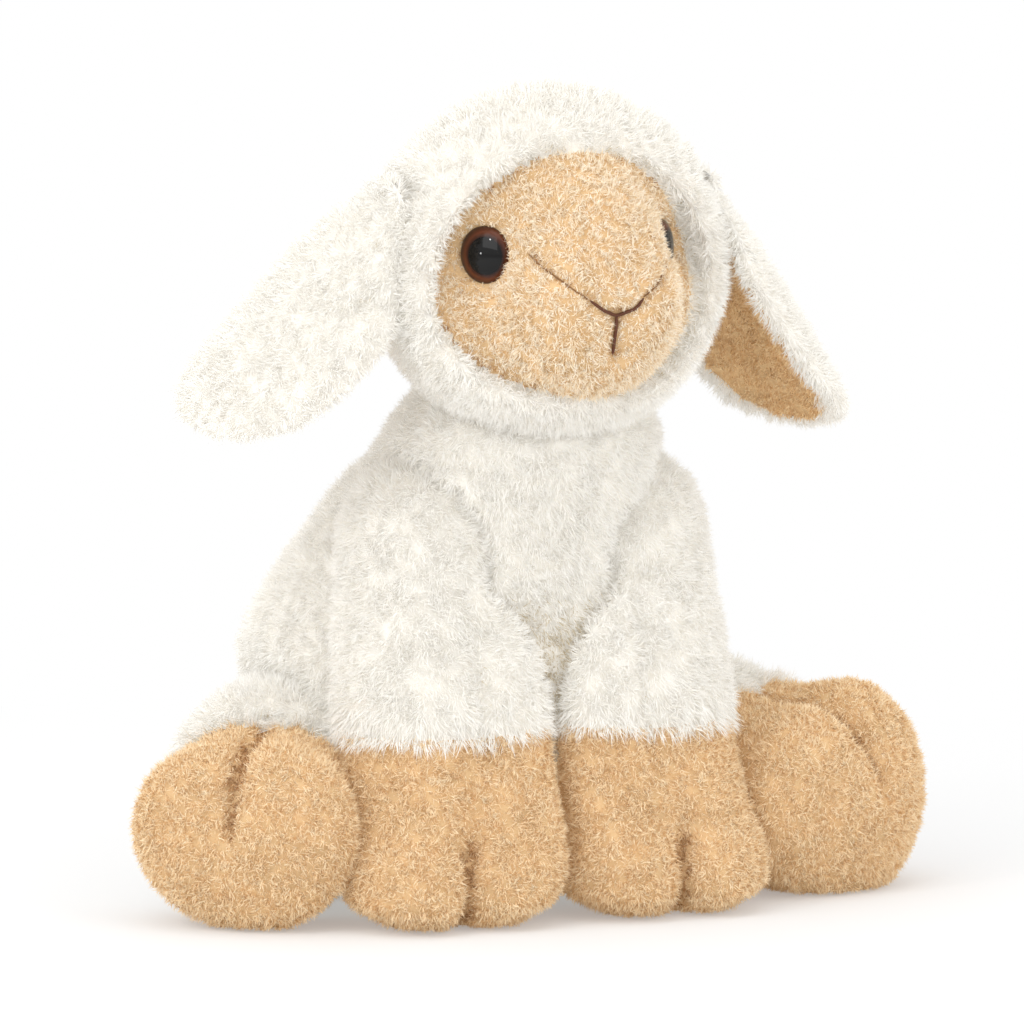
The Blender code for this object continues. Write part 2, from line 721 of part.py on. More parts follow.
def build_eye(make, label, side, panel, filling):
    """A domed eye with its shank through the fabric, and the washer that locks it from inside."""
    spot, look = eye_spot(side)
    place = face_place() @ axes(spot, (0, 1, 0), look)
    turns = np.linspace(0, math.pi / 2, 5)
    dome = [(EYE_RADIUS * math.sin(t), EYE_RIM + (EYE_DOME - EYE_RIM) * math.cos(t)) for t in turns]
    outline = [*dome, (EYE_RADIUS, 0), (SHANK_RADIUS, 0), (SHANK_RADIUS, -SHANK_LENGTH), (0, -SHANK_LENGTH)]
    turned(f"{label}_eye", outline, place, make, material("eye_brown", EYE_BROWN, 0.08))

    top = -FABRIC - FILL_GAP
    low = top - WASHER_THICKNESS
    bore = SHANK_RADIUS + SEAM_GAP
    ring = [(WASHER_RADIUS, top), (WASHER_RADIUS, low), (bore, low), (bore, top)]
    turned(f"{label}_eye_washer", ring, place, make, material("washer", WASHER_WHITE, 0.5), closed=True)

    seat = make.rod(f"{label}_eye_seat", EYE_RADIUS + SEAM_GAP, -SEAM_GAP, OVERRUN, place)
    shank_hole = make.rod(f"{label}_shank_hole", bore, -OVERRUN, OVERRUN, place)
    cut(panel, seat, shank_hole)
    eye_room = make.rod(f"{label}_eye_room", EYE_RADIUS + FILL_GAP, low - FILL_GAP, OVERRUN, place)
    shank_room = make.rod(f"{label}_shank_room", bore + FILL_GAP, -SHANK_LENGTH - FILL_GAP, OVERRUN, place)
    cut(filling, eye_room, shank_room)


def build_ear(make, label, side, shared):
    """The white back of the ear, with the tan lining let into its cupped side."""
    place = ear_place(side)
    white, tan = material("white_pile", WHITE_PILE, 0.95), material("lining_tan", LINING_TAN, 0.95)
    cover = make.piece(f"{label}_ear_cover", ear_form(side), place, white, EAR)
    offset = EAR_HALF_THICKNESS - EAR_LINING_HALF_THICKNESS / 2
    lining_form = ear_form(side, EAR_RIM, EAR_LINING_HALF_THICKNESS, offset)
    lining = make.piece(f"{label}_ear_lining", lining_form, place, tan, EAR_INSIDE)
    room = make.cutter(f"{label}_lining_room", lining_form, place, EAR_INSIDE, grown=SEAM_GAP)
    cut(cover, room)
    for item in (cover, lining):
        cut(item, shared["hood_room"])


def build_foreleg(make, label, side, shared):
    """The sleeve, the hoof sewn to its hem, one filling for both and the pellet bag on the sole."""
    form, place = foreleg_form(side), foreleg_place(side)
    white, tan = material("white_pile", WHITE_PILE, 0.95), material("tan_pile", TAN_PILE, 0.95)
    polyester = material("polyester", POLYESTER, 0.9)
    sleeve = make.piece(f"{label}_foreleg_sleeve", form, place, white, LIMB)
    hoof = make.piece(f"{label}_fore_hoof", form, place, tan, LIMB)
    inside = (LIMB_INSIDE, FABRIC, -FILL_GAP)
    filling = make.piece(f"{label}_foreleg_filling", form, place, polyester, *inside)
    cavity = make.cutter(f"{label}_foreleg_cavity", form, place, LIMB_INSIDE, FABRIC)
    hem = SHOULDER_HEIGHT - HEM_HEIGHT
    wide = 2 * LEG_HALF_WIDTH + OVERRUN
    cut_end = hem + SEAM_GAP
    below = make.block(f"{label}_below_hem", (-wide, -wide, hem), (wide, wide, hem + 2 * wide), place)
    above = make.block(f"{label}_above_hem", (-wide, -wide, cut_end - 2 * wide), (wide, wide, cut_end), place)
    root = make.rod(
        f"{label}_shoulder_hole",
        SHOULDER_RADIUS / 2,
        0,
        OVERRUN,
        axes(shoulder(side), (0, -1, 0), (-side, 0, 0)),
    )
    cut(sleeve, cavity, below, root)
    cut(hoof, cavity, above, shared["floor"])
    bag_spot = shoulder(side) + Vector((0, BAG_BACK - HOOF_SHIFT, BAG_MIDDLE - SHOULDER_HEIGHT))
    core = make.cutter(f"{label}_foreleg_core", form, place, *inside)
    cut(filling, add_bag(make, f"{label}_hoof_pellet", HOOF_BAG, bag_spot, core))
    for item in (sleeve, hoof, filling):
        cut(item, shared["swing_room"], shared["hip_room"][side])


def build_hind_leg(make, label, side, shared):
    """The thigh, the foot sewn to it, one filling for both and the pellet bag on the floor side."""
    form, place = hind_form(), hind_place(side)
    white, tan = material("white_pile", WHITE_PILE, 0.95), material("tan_pile", TAN_PILE, 0.95)
    polyester = material("polyester", POLYESTER, 0.9)
    thigh = make.piece(f"{label}_thigh_cover", form, place, white, LIMB)
    foot = make.piece(f"{label}_hind_foot", form, place, tan, LIMB)
    inside = (LIMB_INSIDE, FABRIC, -FILL_GAP)
    filling = make.piece(f"{label}_hind_leg_filling", form, place, polyester, *inside)
    cavity = make.cutter(f"{label}_hind_cavity", form, place, LIMB_INSIDE, FABRIC)
    wide = 2 * FOOT_HALF_WIDTH + OVERRUN
    seam, cut_end = ANKLE_AT, ANKLE_AT + SEAM_GAP
    beyond = make.block(f"{label}_beyond_seam", (-wide, -wide, seam), (wide, wide, seam + 2 * wide), place)
    before = make.block(f"{label}_before_seam", (-wide, -wide, cut_end - 2 * wide), (wide, wide, cut_end), place)
    root = make.rod(
        f"{label}_hip_hole",
        HIP_RADIUS / 2,
        0,
        HIP_RADIUS + OVERRUN,
        axes(hip(side), (0, -1, 0), (-side, 0, 0)),
    )
    cut(thigh, cavity, beyond, root, shared["floor"])
    cut(foot, cavity, before, shared["floor"])
    along = place.col[2].to_3d()
    reach = (ANKLE_AT + HIND_LENGTH) / 2
    bag_spot = hip(side) + along * reach
    bag_spot.z = BAG_MIDDLE
    core = make.cutter(f"{label}_hind_core", form, place, *inside)
    cut(filling, add_bag(make, f"{label}_foot_pellet", FOOT_BAG, bag_spot, core, side * HIND_TURN))
    for item in (thigh, foot, filling):
        cut(item, shared["torso_room"], *shared["foreleg_rooms"][side])


def build_tail(make, shared):
    """The tail is pile fabric and filling in one, too small to part."""
    white = material("white_pile", WHITE_PILE, 0.95)
    tail = make.piece("tail", tail_form(), tail_place(), white, LIMB_INSIDE)
    cut(tail, shared["torso_room"])


def swung(side, angle):
    """The place of a shape that has swung about the shoulder's hinge; backward is positive."""
    pivot = shoulder(side)
    return Matrix.Translation(pivot) @ Matrix.Rotation(angle, 4, "X") @ Matrix.Translation(-pivot)


def shared_cutters(make):
    """The cutters that more than one piece uses: the floor, the round hollows and the rooms of the others."""
    far = 2 * TORSO_HEIGHT
    shared = {
        "floor": make.block("floor", (-far, -far, -far), (far, far, 0)),
        "head_ball": make.ball("head_ball", HEAD_RADIUS + TURN_GAP, head_centre(), HEAD),
        "hood_room": make.ball("hood_room", HEAD_RADIUS + TURN_GAP, head_centre(), HEAD, warp=shape_hood),
        "root_balls": [make.ball("tail_hollow", TAIL_RADIUS + TURN_GAP, tail_root())],
        "torso_room": make.cutter("torso_room", torso_form(), torso_place(), BODY, grown=SPLAY_GAP),
        "swing_room": make.cutter("swing_room", torso_form(), torso_place(), BODY, grown=SWING_GAP),
        "ear_slots": [],
        "hip_room": {},
        "foreleg_rooms": {},
    }
    cut(shared["torso_room"], make.ball("tail_reach", TAIL_RADIUS + TURN_GAP / 2, tail_root()))
    for label, side in SIDES:
        shared["root_balls"] += [
            make.ball(f"{label}_shoulder_hollow", SHOULDER_RADIUS + SWING_GAP, shoulder(side)),
            make.ball(f"{label}_hip_hollow", HIP_RADIUS + SPLAY_GAP, hip(side)),
        ]
        shoulder_reach = make.ball(f"{label}_shoulder_reach", SHOULDER_RADIUS + TURN_GAP / 2, shoulder(side))
        hip_reach = make.ball(f"{label}_hip_reach", HIP_RADIUS + TURN_GAP / 2, hip(side))
        cut(shared["torso_room"], hip_reach)
        cut(shared["swing_room"], shoulder_reach)
        shared["hip_room"][side] = make.ball(f"{label}_hip_room", HIP_RADIUS + TURN_GAP, hip(side))
        shared["foreleg_rooms"][side] = []
        for step, angle in enumerate((0, HOOF_PASS)):
            place = swung(side, -angle) @ foreleg_place(side)
            room = make.cutter(f"{label}_foreleg_room_{step}", foreleg_form(side), place, LIMB, grown=TURN_GAP)
            cut(room, hip_reach)
            shared["foreleg_rooms"][side].append(room)
        slot_place = axes(ear_root(side), (0, 0, 1), (0, 1, 0))
        slot_radius = EAR_ROOT_RADIUS + TURN_GAP
        slot = make.rod(f"{label}_ear_slot", slot_radius, -EAR_HALF_WIDTH, EAR_HALF_WIDTH, slot_place)
        shared["ear_slots"].append(slot)
    return shared


def main():
    clear_scene()
    make = Maker(new_collection("plush_lamb"), new_collection("cutters"))
    shared = shared_cutters(make)
    build_torso(make, shared)
    build_neck(make, shared)
    panel, filling = build_head(make, shared)
    build_tail(make, shared)
    for label, side in SIDES:
        build_eye(make, label, side, panel, filling)
        build_ear(make, label, side, shared)
        build_foreleg(make, label, side, shared)
        build_hind_leg(make, label, side, shared)


main()
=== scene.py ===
"""A sitting plush lamb: stuffed skins round the CAD covers, and pile that stands on them strand by strand.

Every stuffed form is copied from its CAD solids, remeshed into one smooth skin and covered with pile. A
strand is a bent kite of two faces with a point at both ends. White strands are long and soft, tan ones
short and curled. The eyes are turned domes, and the nose and mouth are stitched threads.

Lengths are in metres. x runs to the lamb's left, y to its back and z up.
"""

import json
import math
import zlib
from types import SimpleNamespace

import bmesh
import bpy
import numpy as np
from bpy.props import FloatProperty, FloatVectorProperty, PointerProperty
from mathutils import Matrix, Vector
from mathutils.bvhtree import BVHTree
from mathutils.kdtree import KDTree

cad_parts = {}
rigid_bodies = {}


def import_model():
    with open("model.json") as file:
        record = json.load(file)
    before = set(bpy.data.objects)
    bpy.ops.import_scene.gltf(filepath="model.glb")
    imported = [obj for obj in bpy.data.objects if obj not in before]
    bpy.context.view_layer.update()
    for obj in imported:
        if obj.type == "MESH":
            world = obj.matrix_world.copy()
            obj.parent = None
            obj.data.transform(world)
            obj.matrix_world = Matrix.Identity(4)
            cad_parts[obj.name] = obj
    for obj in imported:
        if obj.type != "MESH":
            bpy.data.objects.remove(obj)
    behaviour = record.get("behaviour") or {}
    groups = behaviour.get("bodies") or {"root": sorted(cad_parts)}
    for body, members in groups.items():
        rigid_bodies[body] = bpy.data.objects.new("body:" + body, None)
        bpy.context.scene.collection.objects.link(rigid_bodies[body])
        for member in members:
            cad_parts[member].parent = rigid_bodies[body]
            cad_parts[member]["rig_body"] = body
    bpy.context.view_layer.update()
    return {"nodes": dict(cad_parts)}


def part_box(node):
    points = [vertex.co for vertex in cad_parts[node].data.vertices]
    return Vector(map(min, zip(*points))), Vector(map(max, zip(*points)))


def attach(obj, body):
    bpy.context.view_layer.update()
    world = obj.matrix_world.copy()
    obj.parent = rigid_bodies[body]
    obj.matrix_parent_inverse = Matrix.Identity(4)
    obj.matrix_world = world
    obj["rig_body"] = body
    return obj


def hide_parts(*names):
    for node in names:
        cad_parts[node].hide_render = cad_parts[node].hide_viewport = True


bl_info = {
    "name": "Plush lamb",
    "version": (1, 0, 0),
    "blender": (4, 5, 0),
    "location": "View3D > Sidebar > Lamb",
    "description": "Builds the skins, pile, eyes and stitches of a sitting plush lamb",
    "category": "Object",
}

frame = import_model()
SIDES = (("right", -1), ("left", 1))

# The lowest points of a strand and of a skin, and the heights from which white and tan pile grow
GROUND, SKIN_GROUND = 0.0003, 0.0004
WHITE_FROM, TAN_FROM = 0.0025, 0.0012
JOINED = 1e-6
RELAX_STEPS = (0.5, -0.52)
RAY_START = 0.2

# How the stuffing swells the skins, or sinks them, past the solids
HOOD_OVERHANG = 0.003
HOOD_RIM = 0.0008
HOOD_SINK = 0.0018
FLANK_SWELL = 0.0068
EAR_SLIM, EAR_LEAST_SLIM = 0.0036, 0.0006
EAR_SAG = 0.003
EAR_RIM = 0.0022
KNEE_SWELL = 0.0080
KNEE_GAP = 0.0024
OUTER_TOE, INNER_TOE, FLAT_TOP = 0.0075, -0.0016, -0.0025

# The clefts between the toes, and which way the feet turn
CLEFT_WIDTH, CLEFT_DEPTH = 0.0028, 0.0026
HOOF_CLEFT_X, FOOT_CLEFT_X = 0.0345, 0.058
FOOT_TURN = math.radians(36)

# Eyes, and the pile's distances from them
EYE_RIM_SHARE = 0.2
PUPIL_LEAN = 0.0018
PUPIL_SHARE = 0.635
EYE_CLEAR, EYE_BEHIND = 0.0084, -0.004
EYE_PARTING = 0.014
EYE_TRIM = 0.0105
NECK_CLEAR = 0.004

# The stitches' (x, z) places on the face, and the points round a thread
MOUTH = ((0.0, 0.1842), (0.0, 0.1803), (0.0, 0.1763), (0.0, 0.1723))
NOSE_HALF = ((0.0028, 0.1846), (0.0058, 0.1862), (0.0084, 0.1884))
NOSE = (*((-x, z) for x, z in reversed(NOSE_HALF)), (0.0, 0.1839), *NOSE_HALF)
SEAM = ((0.0085, 0.1886), (0.0135, 0.1920), (0.0167, 0.1948), (0.0196, 0.1979), (0.0211, 0.2010))
THREAD_TURNS = 12

# Strands: their faces, and the shares of the reach below and above the bend
PIECE_TRIANGLES = 198_000
STRAND_FACES = np.array(((0, 2, 1), (1, 2, 3)), np.int32)
ROOT_DEPTH = 0.0004
BELOW_BEND, ABOVE_BEND = 0.46, 0.58
SHORTEST, LONGEST = 0.72, 1.12
LEAST_RISE, LEAST_BEND = 0.18, -0.25

# Curvatures in 1/m where a hollow starts to show in the pile, as shorter strands and painted shade, and
# where it shows in full
HOLLOW_START, HOLLOW_FULL = 12.0, 110.0

# Stage: the floor's half size, and where its own white fades in, from which strength
FLOOR_HALF = 6.0
FLOOR_NEAR, FLOOR_FAR, FLOOR_GLOW = 0.16, 0.40, 0.30
WHITE = (1, 1, 1, 1)
PICTURE_PIXELS = 1024
AIM_ACROSS, AIM_UP, AIM_BACK = 0.0111, 0.1131, 0.035
LIT_MIDDLE = (0, -0.03, 0.12)
# Azimuth and elevation in degrees, distance, size, and watts as a share of the key light's
LAMPS = {
    "key": (-62, 32, 1.5, 1.1, 1.0),
    "fill": (28, 18, 1.6, 1.3, 0.75),
    "top": (-10, 72, 1.4, 1.1, 0.50),
    "glint": (-64, 33, 1.1, 0.060, 0.11),
    "low_glint": (-84, 3, 1.1, 0.045, 0.035),
}


def colour(name, about, default):
    """A colour property, written as sRGB."""
    return FloatVectorProperty(name=name, description=about, subtype="COLOR_GAMMA", size=3, default=default)


def length(name, about, default):
    """A length property in metres."""
    return FloatProperty(name=name, description=about, default=default, unit="LENGTH", precision=5)


def number(name, about, default, unit="NONE"):
    """A property that is a plain number or an angle."""
    return FloatProperty(name=name, description=about, default=default, unit=unit)


class LambPile(bpy.types.PropertyGroup):
    """Lengths, densities, painted glows and tints of the three kinds of pile; some tints are painted light.
    """

    white_length: length("White strand", "Length of a white strand", 0.0046)
    tan_length: length("Tan strand", "Length of a tan strand", 0.0034)
    lining_length: length("Lining strand", "Length of a strand on the ear lining", 0.0028)
    white_width: length("White width", "Width of a white strand at its bend", 0.00029)
    tan_width: length("Tan width", "Width of a tan strand at its bend", 0.00033)
    white_density: number("White density", "White strands per square mm", 3.93)
    tan_density: number("Tan density", "Tan strands per square mm", 4.7)
    # The glows are emission strengths: a painted glow in the strands that stands in for light scattered
    # through the pile and lifts its shade.
    white_painted_glow: number("White glow", "Light that passes through white strands", 0.085)
    tan_painted_glow: number("Tan glow", "Light that passes through tan strands", 0.075)
    # Tips, middles and roots: each strand's root is one tint darker than its tip, so the root tints are
    # painted shade deep in the pile and the tip tints painted highlight; which tint a strand takes varies
    # at random.
    white: colour("White", "The tips of the white pile", (0.972, 0.965, 0.949))
    cream: colour("Cream", "The middle tint of the white pile", (0.965, 0.956, 0.936))
    shade: colour("Shade", "The roots of the white pile", (0.953, 0.939, 0.910))
    # The deep tints, given only in hollows and in the gap between the forelegs, are painted shade.
    white_deep: colour("Deep white", "White pile deep in a hollow", (0.850, 0.800, 0.700))
    # The tan tints likewise: painted shade at the roots, painted highlight at the tips.
    sand: colour("Sand", "The tips of the tan pile", (0.975, 0.900, 0.770))
    tan: colour("Tan", "The middle tint of the tan pile", (0.945, 0.850, 0.700))
    honey: colour("Honey", "The roots of the tan pile", (0.870, 0.735, 0.555))
    # Painted shade in hollows of the tan pile.
    tan_deep: colour("Deep tan", "Tan pile deep in a hollow", (0.740, 0.570, 0.390))
    # The face's tints likewise: painted shade at the roots, painted highlight at the tips.
    face_sand: colour("Face sand", "The tips of the pile on the face", (0.984, 0.945, 0.878))
    face_tan: colour("Face tan", "The middle tint of the pile on the face", (0.964, 0.909, 0.812))
    face_honey: colour("Face honey", "The roots of the pile on the face", (0.908, 0.820, 0.682))
    # The dark lining tint is painted shade at the roots, and some strands take it all along at random.
    lining: colour("Lining", "The tips of the lining's pile", (0.955, 0.850, 0.680))
    lining_dark: colour("Dark lining", "The roots of the lining's pile", (0.870, 0.735, 0.550))


class LambFace(bpy.types.PropertyGroup):
    """Sizes and colours of the eyes and of the stitched nose."""

    eye_turn: number("Eye turn", "How far the eyes look outward", 0.9948, "ROTATION")
    thread_radius: length("Thread", "Radius of the stitched thread", 0.00050)
    iris: colour("Iris", "Brown ring of the eye", (0.37, 0.19, 0.11))
    iris_dark: colour("Dark iris", "Edges of the brown ring", (0.20, 0.09, 0.05))
    pupil: colour("Pupil", "Black of the pupil", (0.018, 0.016, 0.016))
    thread: colour("Thread", "Brown of the nose and mouth", (0.36, 0.20, 0.12))
    seam: colour("Seam", "Brown of the seams between nose and eyes", (0.56, 0.41, 0.26))


class LambStage(bpy.types.PropertyGroup):
    """Camera, lights and floor."""

    azimuth: number("Azimuth", "Camera angle round the lamb, in degrees", -22.0)
    elevation: number("Elevation", "Camera angle above the floor, in degrees", 7.0)
    distance: length("Distance", "From the camera to the middle of the lamb", 2.5)
    scale: number("Scale", "Pixels per metre in a picture of 1024 pixels", 3333.0)
    key: number("Key light", "Watts of the key light", 6.3)
    world: number("World light", "Strength of the even light", 0.90)


def settings(kind):
    """The scene's settings of one kind: pile, face or stage."""
    return getattr(bpy.context.scene, f"lamb_{kind}")


class Value:
    """A number in a node tree. Arithmetic on it adds Math nodes."""

    def __init__(self, nodes, socket):
        self.nodes = nodes
        self.socket = socket

    def _math(self, operation, *terms):
        return self.nodes.add("ShaderNodeMath", {"operation": operation}, dict(enumerate(terms)))

    def __add__(self, other):
        return self._math("ADD", self, other)

    __radd__ = __add__

    def __mul__(self, other):
        return self._math("MULTIPLY", self, other)

    __rmul__ = __mul__

    def __sub__(self, other):
        return self._math("SUBTRACT", self, other)

    def __rsub__(self, other):
        return self._math("SUBTRACT", other, self)


class Nodes:
    """A node tree that is built node by node."""

    def __init__(self, tree):
        self.tree = tree

    def add(self, kind, options, inputs, output=0):
        """Adds a node, with its settings first and then the values or links of its sockets."""
        node = self.tree.nodes.new(kind)
        for key, value in options.items():
            if key == "stops":
                self._stops(node.color_ramp, value)
            else:
                setattr(node, key, value)
        for key, value in inputs.items():
            if isinstance(value, Value):
                self.link(value, node.inputs[key])
            else:
                node.inputs[key].default_value = value
        return Value(self, node.outputs[output])

    def _stops(self, ramp, stops):
        while len(ramp.elements) > len(stops):
            ramp.elements.remove(ramp.elements[-1])
        while len(ramp.elements) < len(stops):
            ramp.elements.new(0.5)
        for element, (place, shade) in zip(ramp.elements, stops):
            element.position = place
            element.color = (*linear(shade), 1)

    def link(self, value, socket):
        self.tree.links.new(value.socket, socket)


class Finish(Nodes):
    """A material that is built node by node onto its Principled shader."""

    def __init__(self, name, roughness, shade=None, constants=None):
        self.made = bpy.data.materials.new(name)
        self.made.use_nodes = True
        super().__init__(self.made.node_tree)
        self.shader = self.tree.nodes["Principled BSDF"]
        self.shader.inputs["Roughness"].default_value = roughness
        if shade is not None:
            self.shader.inputs["Base Color"].default_value = (*linear(shade), 1)
        for key, value in (constants or {}).items():
            self.shader.inputs[key].default_value = value

    def feed(self, socket, value):
        """Links a value to a socket of the shader."""
        self.link(value, self.shader.inputs[socket])
        return self


def linear(srgb):
    """sRGB values as linear ones."""
    values = np.asarray(srgb, float)
    return tuple(np.where(values < 0.04045, values / 12.92, ((values + 0.055) / 1.055) ** 2.4))


def material(name, make):
    """The material of that name, made the first time."""
    return bpy.data.materials.get(name) or make(name).made


def backing(name, base):
    """The knitted backing under the pile: fine loops in relief, a slow change of tint, and a painted glow.
    """

    def make(name):
        # Painted glow: emission in the backing's own tint, which lifts the shade seen between the strands.
        light = {"Emission Color": (*linear(base), 1), "Emission Strength": 0.12}
        finish = Finish(name, 0.95, constants=light)
        place = finish.add("ShaderNodeTexCoord", {}, {}, "Object")
        loops = finish.add("ShaderNodeTexVoronoi", {}, {"Vector": place, "Scale": 1400.0}, "Distance")
        drift = finish.add("ShaderNodeTexNoise", {}, {"Vector": place, "Scale": 90.0, "Detail": 3.0})
        dark = tuple(c * 0.88 for c in base)
        tint = finish.add("ShaderNodeValToRGB", {"stops": ((0.3, dark), (0.7, base))}, {0: drift})
        bump = finish.add("ShaderNodeBump", {}, {"Height": loops, "Distance": 0.0004, "Strength": 0.5})
        return finish.feed("Base Color", tint).feed("Normal", bump)

    return material(name, make)


def backings(*fabrics):
    """The backings of the named fabrics: white, tan or lining, in the root tints of their pile, which are
    painted shade.
    """
    pile = settings("pile")
    bases = {"white": pile.shade, "tan": pile.honey, "lining": pile.lining_dark}
    return [backing(f"backing_{fabric}", bases[fabric]) for fabric in fabrics]


def strand_material(tint, glow):
    """One plain tint of pile, with a painted glow of emission in a deeper shade of it; a piece mixes
    several, strand by strand, so its colour varies by geometry.
    """
    shade = getattr(settings("pile"), tint)
    constants = {
        "Sheen Weight": 0.2,
        "Sheen Roughness": 0.5,
        "Specular IOR Level": 0.2,
        # Painted glow: the strands emit light of their own, which lifts the shade in the pile.
        "Emission Color": (*linear(tuple(c**1.25 for c in shade)), 1),
        "Emission Strength": glow,
    }
    return material(f"pile_{tint}", lambda name: Finish(name, 0.85, shade, constants))


def new_object(name, data):
    """An object in the scene, at the origin."""
    made = bpy.data.objects.new(name, data)
    bpy.context.scene.collection.objects.link(made)
    return made


def rows(items, key, width, kind=np.float32):
    """One property of a mesh's items, as an array with a row for each."""
    values = np.empty(len(items) * width, kind)
    items.foreach_get(key, values)
    return values.reshape(-1, width)


def mesh_arrays(mesh):
    """Points, normals and triangles of a mesh as arrays."""
    mesh.calc_loop_triangles()
    points = rows(mesh.vertices, "co", 3).astype(float)
    normals = rows(mesh.vertices, "normal", 3).astype(float)
    return points, normals, rows(mesh.loop_triangles, "vertices", 3, np.int32)


def mesh_edges(mesh):
    """The two vertices of each edge of a mesh."""
    return rows(mesh.edges, "vertices", 2, np.int32)


def set_points(mesh, points):
    """Moves a skin's vertices to the points, but none below its lowest height."""
    points[:, 2] = np.maximum(points[:, 2], SKIN_GROUND)
    mesh.vertices.foreach_set("co", points.astype(np.float32).ravel())
    mesh.update()


def triangle_mesh(name, points, triangles, slots=None):
    """A mesh of loose or joined triangles, with a material slot number for each."""
    mesh = bpy.data.meshes.new(name)
    mesh.vertices.add(len(points))
    mesh.vertices.foreach_set("co", np.ascontiguousarray(points, np.float32).ravel())
    mesh.loops.add(len(triangles) * 3)
    mesh.loops.foreach_set("vertex_index", np.ascontiguousarray(triangles, np.int32).ravel())
    mesh.polygons.add(len(triangles))
    mesh.polygons.foreach_set("loop_start", np.arange(0, len(triangles) * 3, 3, dtype=np.int32))
    if slots is not None:
        mesh.polygons.foreach_set("material_index", np.ascontiguousarray(slots, np.int32))
    mesh.update(calc_edges=True)
    return mesh


def search_tree(mesh):
    """A search tree over a mesh's faces."""
    points, _, triangles = mesh_arrays(mesh)
    return BVHTree.FromPolygons([tuple(p) for p in points], [tuple(t) for t in triangles.tolist()])


def distance_to(points, node):
    """How far each point lies from a CAD node."""
    tree = search_tree(frame["nodes"][node].data)
    return np.array([tree.find_nearest(point)[3] for point in points.tolist()])


def nearer_to(points, first, second, lean=0.0):
    """Whether each point lies nearer to the first CAD node than to the second, taken lean further off."""
    return distance_to(points, first) < distance_to(points, second) + lean


def close_to(points, others, reach):
    """Whether each point lies within reach of one of the others."""
    tree = KDTree(len(others))
    for k, other in enumerate(others.tolist()):
        tree.insert(other, k)
    tree.balance()
    return np.array([tree.find(point)[2] < reach for point in points.tolist()])


def smooth_step(values, low, high):
    """From 0 at low to 1 at high: the share squared x (3 - 2 x the share)."""
    share = np.clip((values - low) / (high - low), 0, 1)
    return share * share * (3 - 2 * share)


def unit(vectors):
    """The vectors at length 1."""
    return vectors / np.maximum(np.linalg.norm(vectors, axis=1), 1e-9)[:, None]


def from_line(points, line):
    """How far each point lies from a line through several places."""
    best = np.full(len(points), np.inf)
    for start, end in zip(line[:-1], line[1:]):
        run = end - start
        share = np.clip((points - start) @ run / (run @ run), 0, 1)
        best = np.minimum(best, np.linalg.norm(points - start - share[:, None] * run, axis=1))
    return best


def from_axis(points, spot, look):
    """Each point's offset from the axis through a spot, at right angles to it, and how far along it is."""
    away = points - spot
    along = away @ look
    return away - along[:, None] * look, along


def landed(skin, starts, way):
    """Where rays from the starting points first meet a skin, and its normals there."""
    tree = search_tree(skin.data)
    hits = [tree.ray_cast(Vector(start), Vector(way)) for start in starts]
    return np.array([hit[0] for hit in hits]), np.array([hit[1] for hit in hits])


def eased(values, rounds):
    """Rows of values, each moved halfway to the mean of its neighbours in every round; the ends stay."""
    for _ in range(rounds):
        values = np.vstack((values[:1], values[1:-1] / 2 + (values[:-2] + values[2:]) / 4, values[-1:]))
    return values


def neighbour_means(values, edges):
    """The mean of the values at each point's neighbours."""
    total = np.zeros_like(values)
    np.add.at(total, edges[:, 0], values[edges[:, 1]])
    np.add.at(total, edges[:, 1], values[edges[:, 0]])
    count = np.bincount(edges.ravel(), minlength=len(values))
    return total / (count if values.ndim == 1 else count[:, None])


def relaxed(points, edges, rounds):
    """Moves each point towards the mean of its neighbours and back, which smooths without shrinking."""
    for step in RELAX_STEPS * rounds:
        points = points + step * (neighbour_means(points, edges) - points)
    return points


def hollows(points, normals, edges):
    """How hollow a skin is at each point, as the curvature of the hollow in 1/m, smoothed."""
    apart = np.linalg.norm(points[edges[:, 0]] - points[edges[:, 1]], axis=1).mean()
    depth = 2 * np.sum((neighbour_means(points, edges) - points) * normals, axis=1) / apart**2
    for _ in range(3):
        depth = (depth + neighbour_means(depth, edges)) / 2
    return depth


def crease(skin, line, width, depth):
    """Presses a skin in along a line: by depth x exp(-(distance from the line / width) squared)."""
    points, normals, _ = mesh_arrays(skin.data)
    points -= normals * (depth * np.exp(-((from_line(points, line) / width) ** 2)))[:, None]
    set_points(skin.data, points)


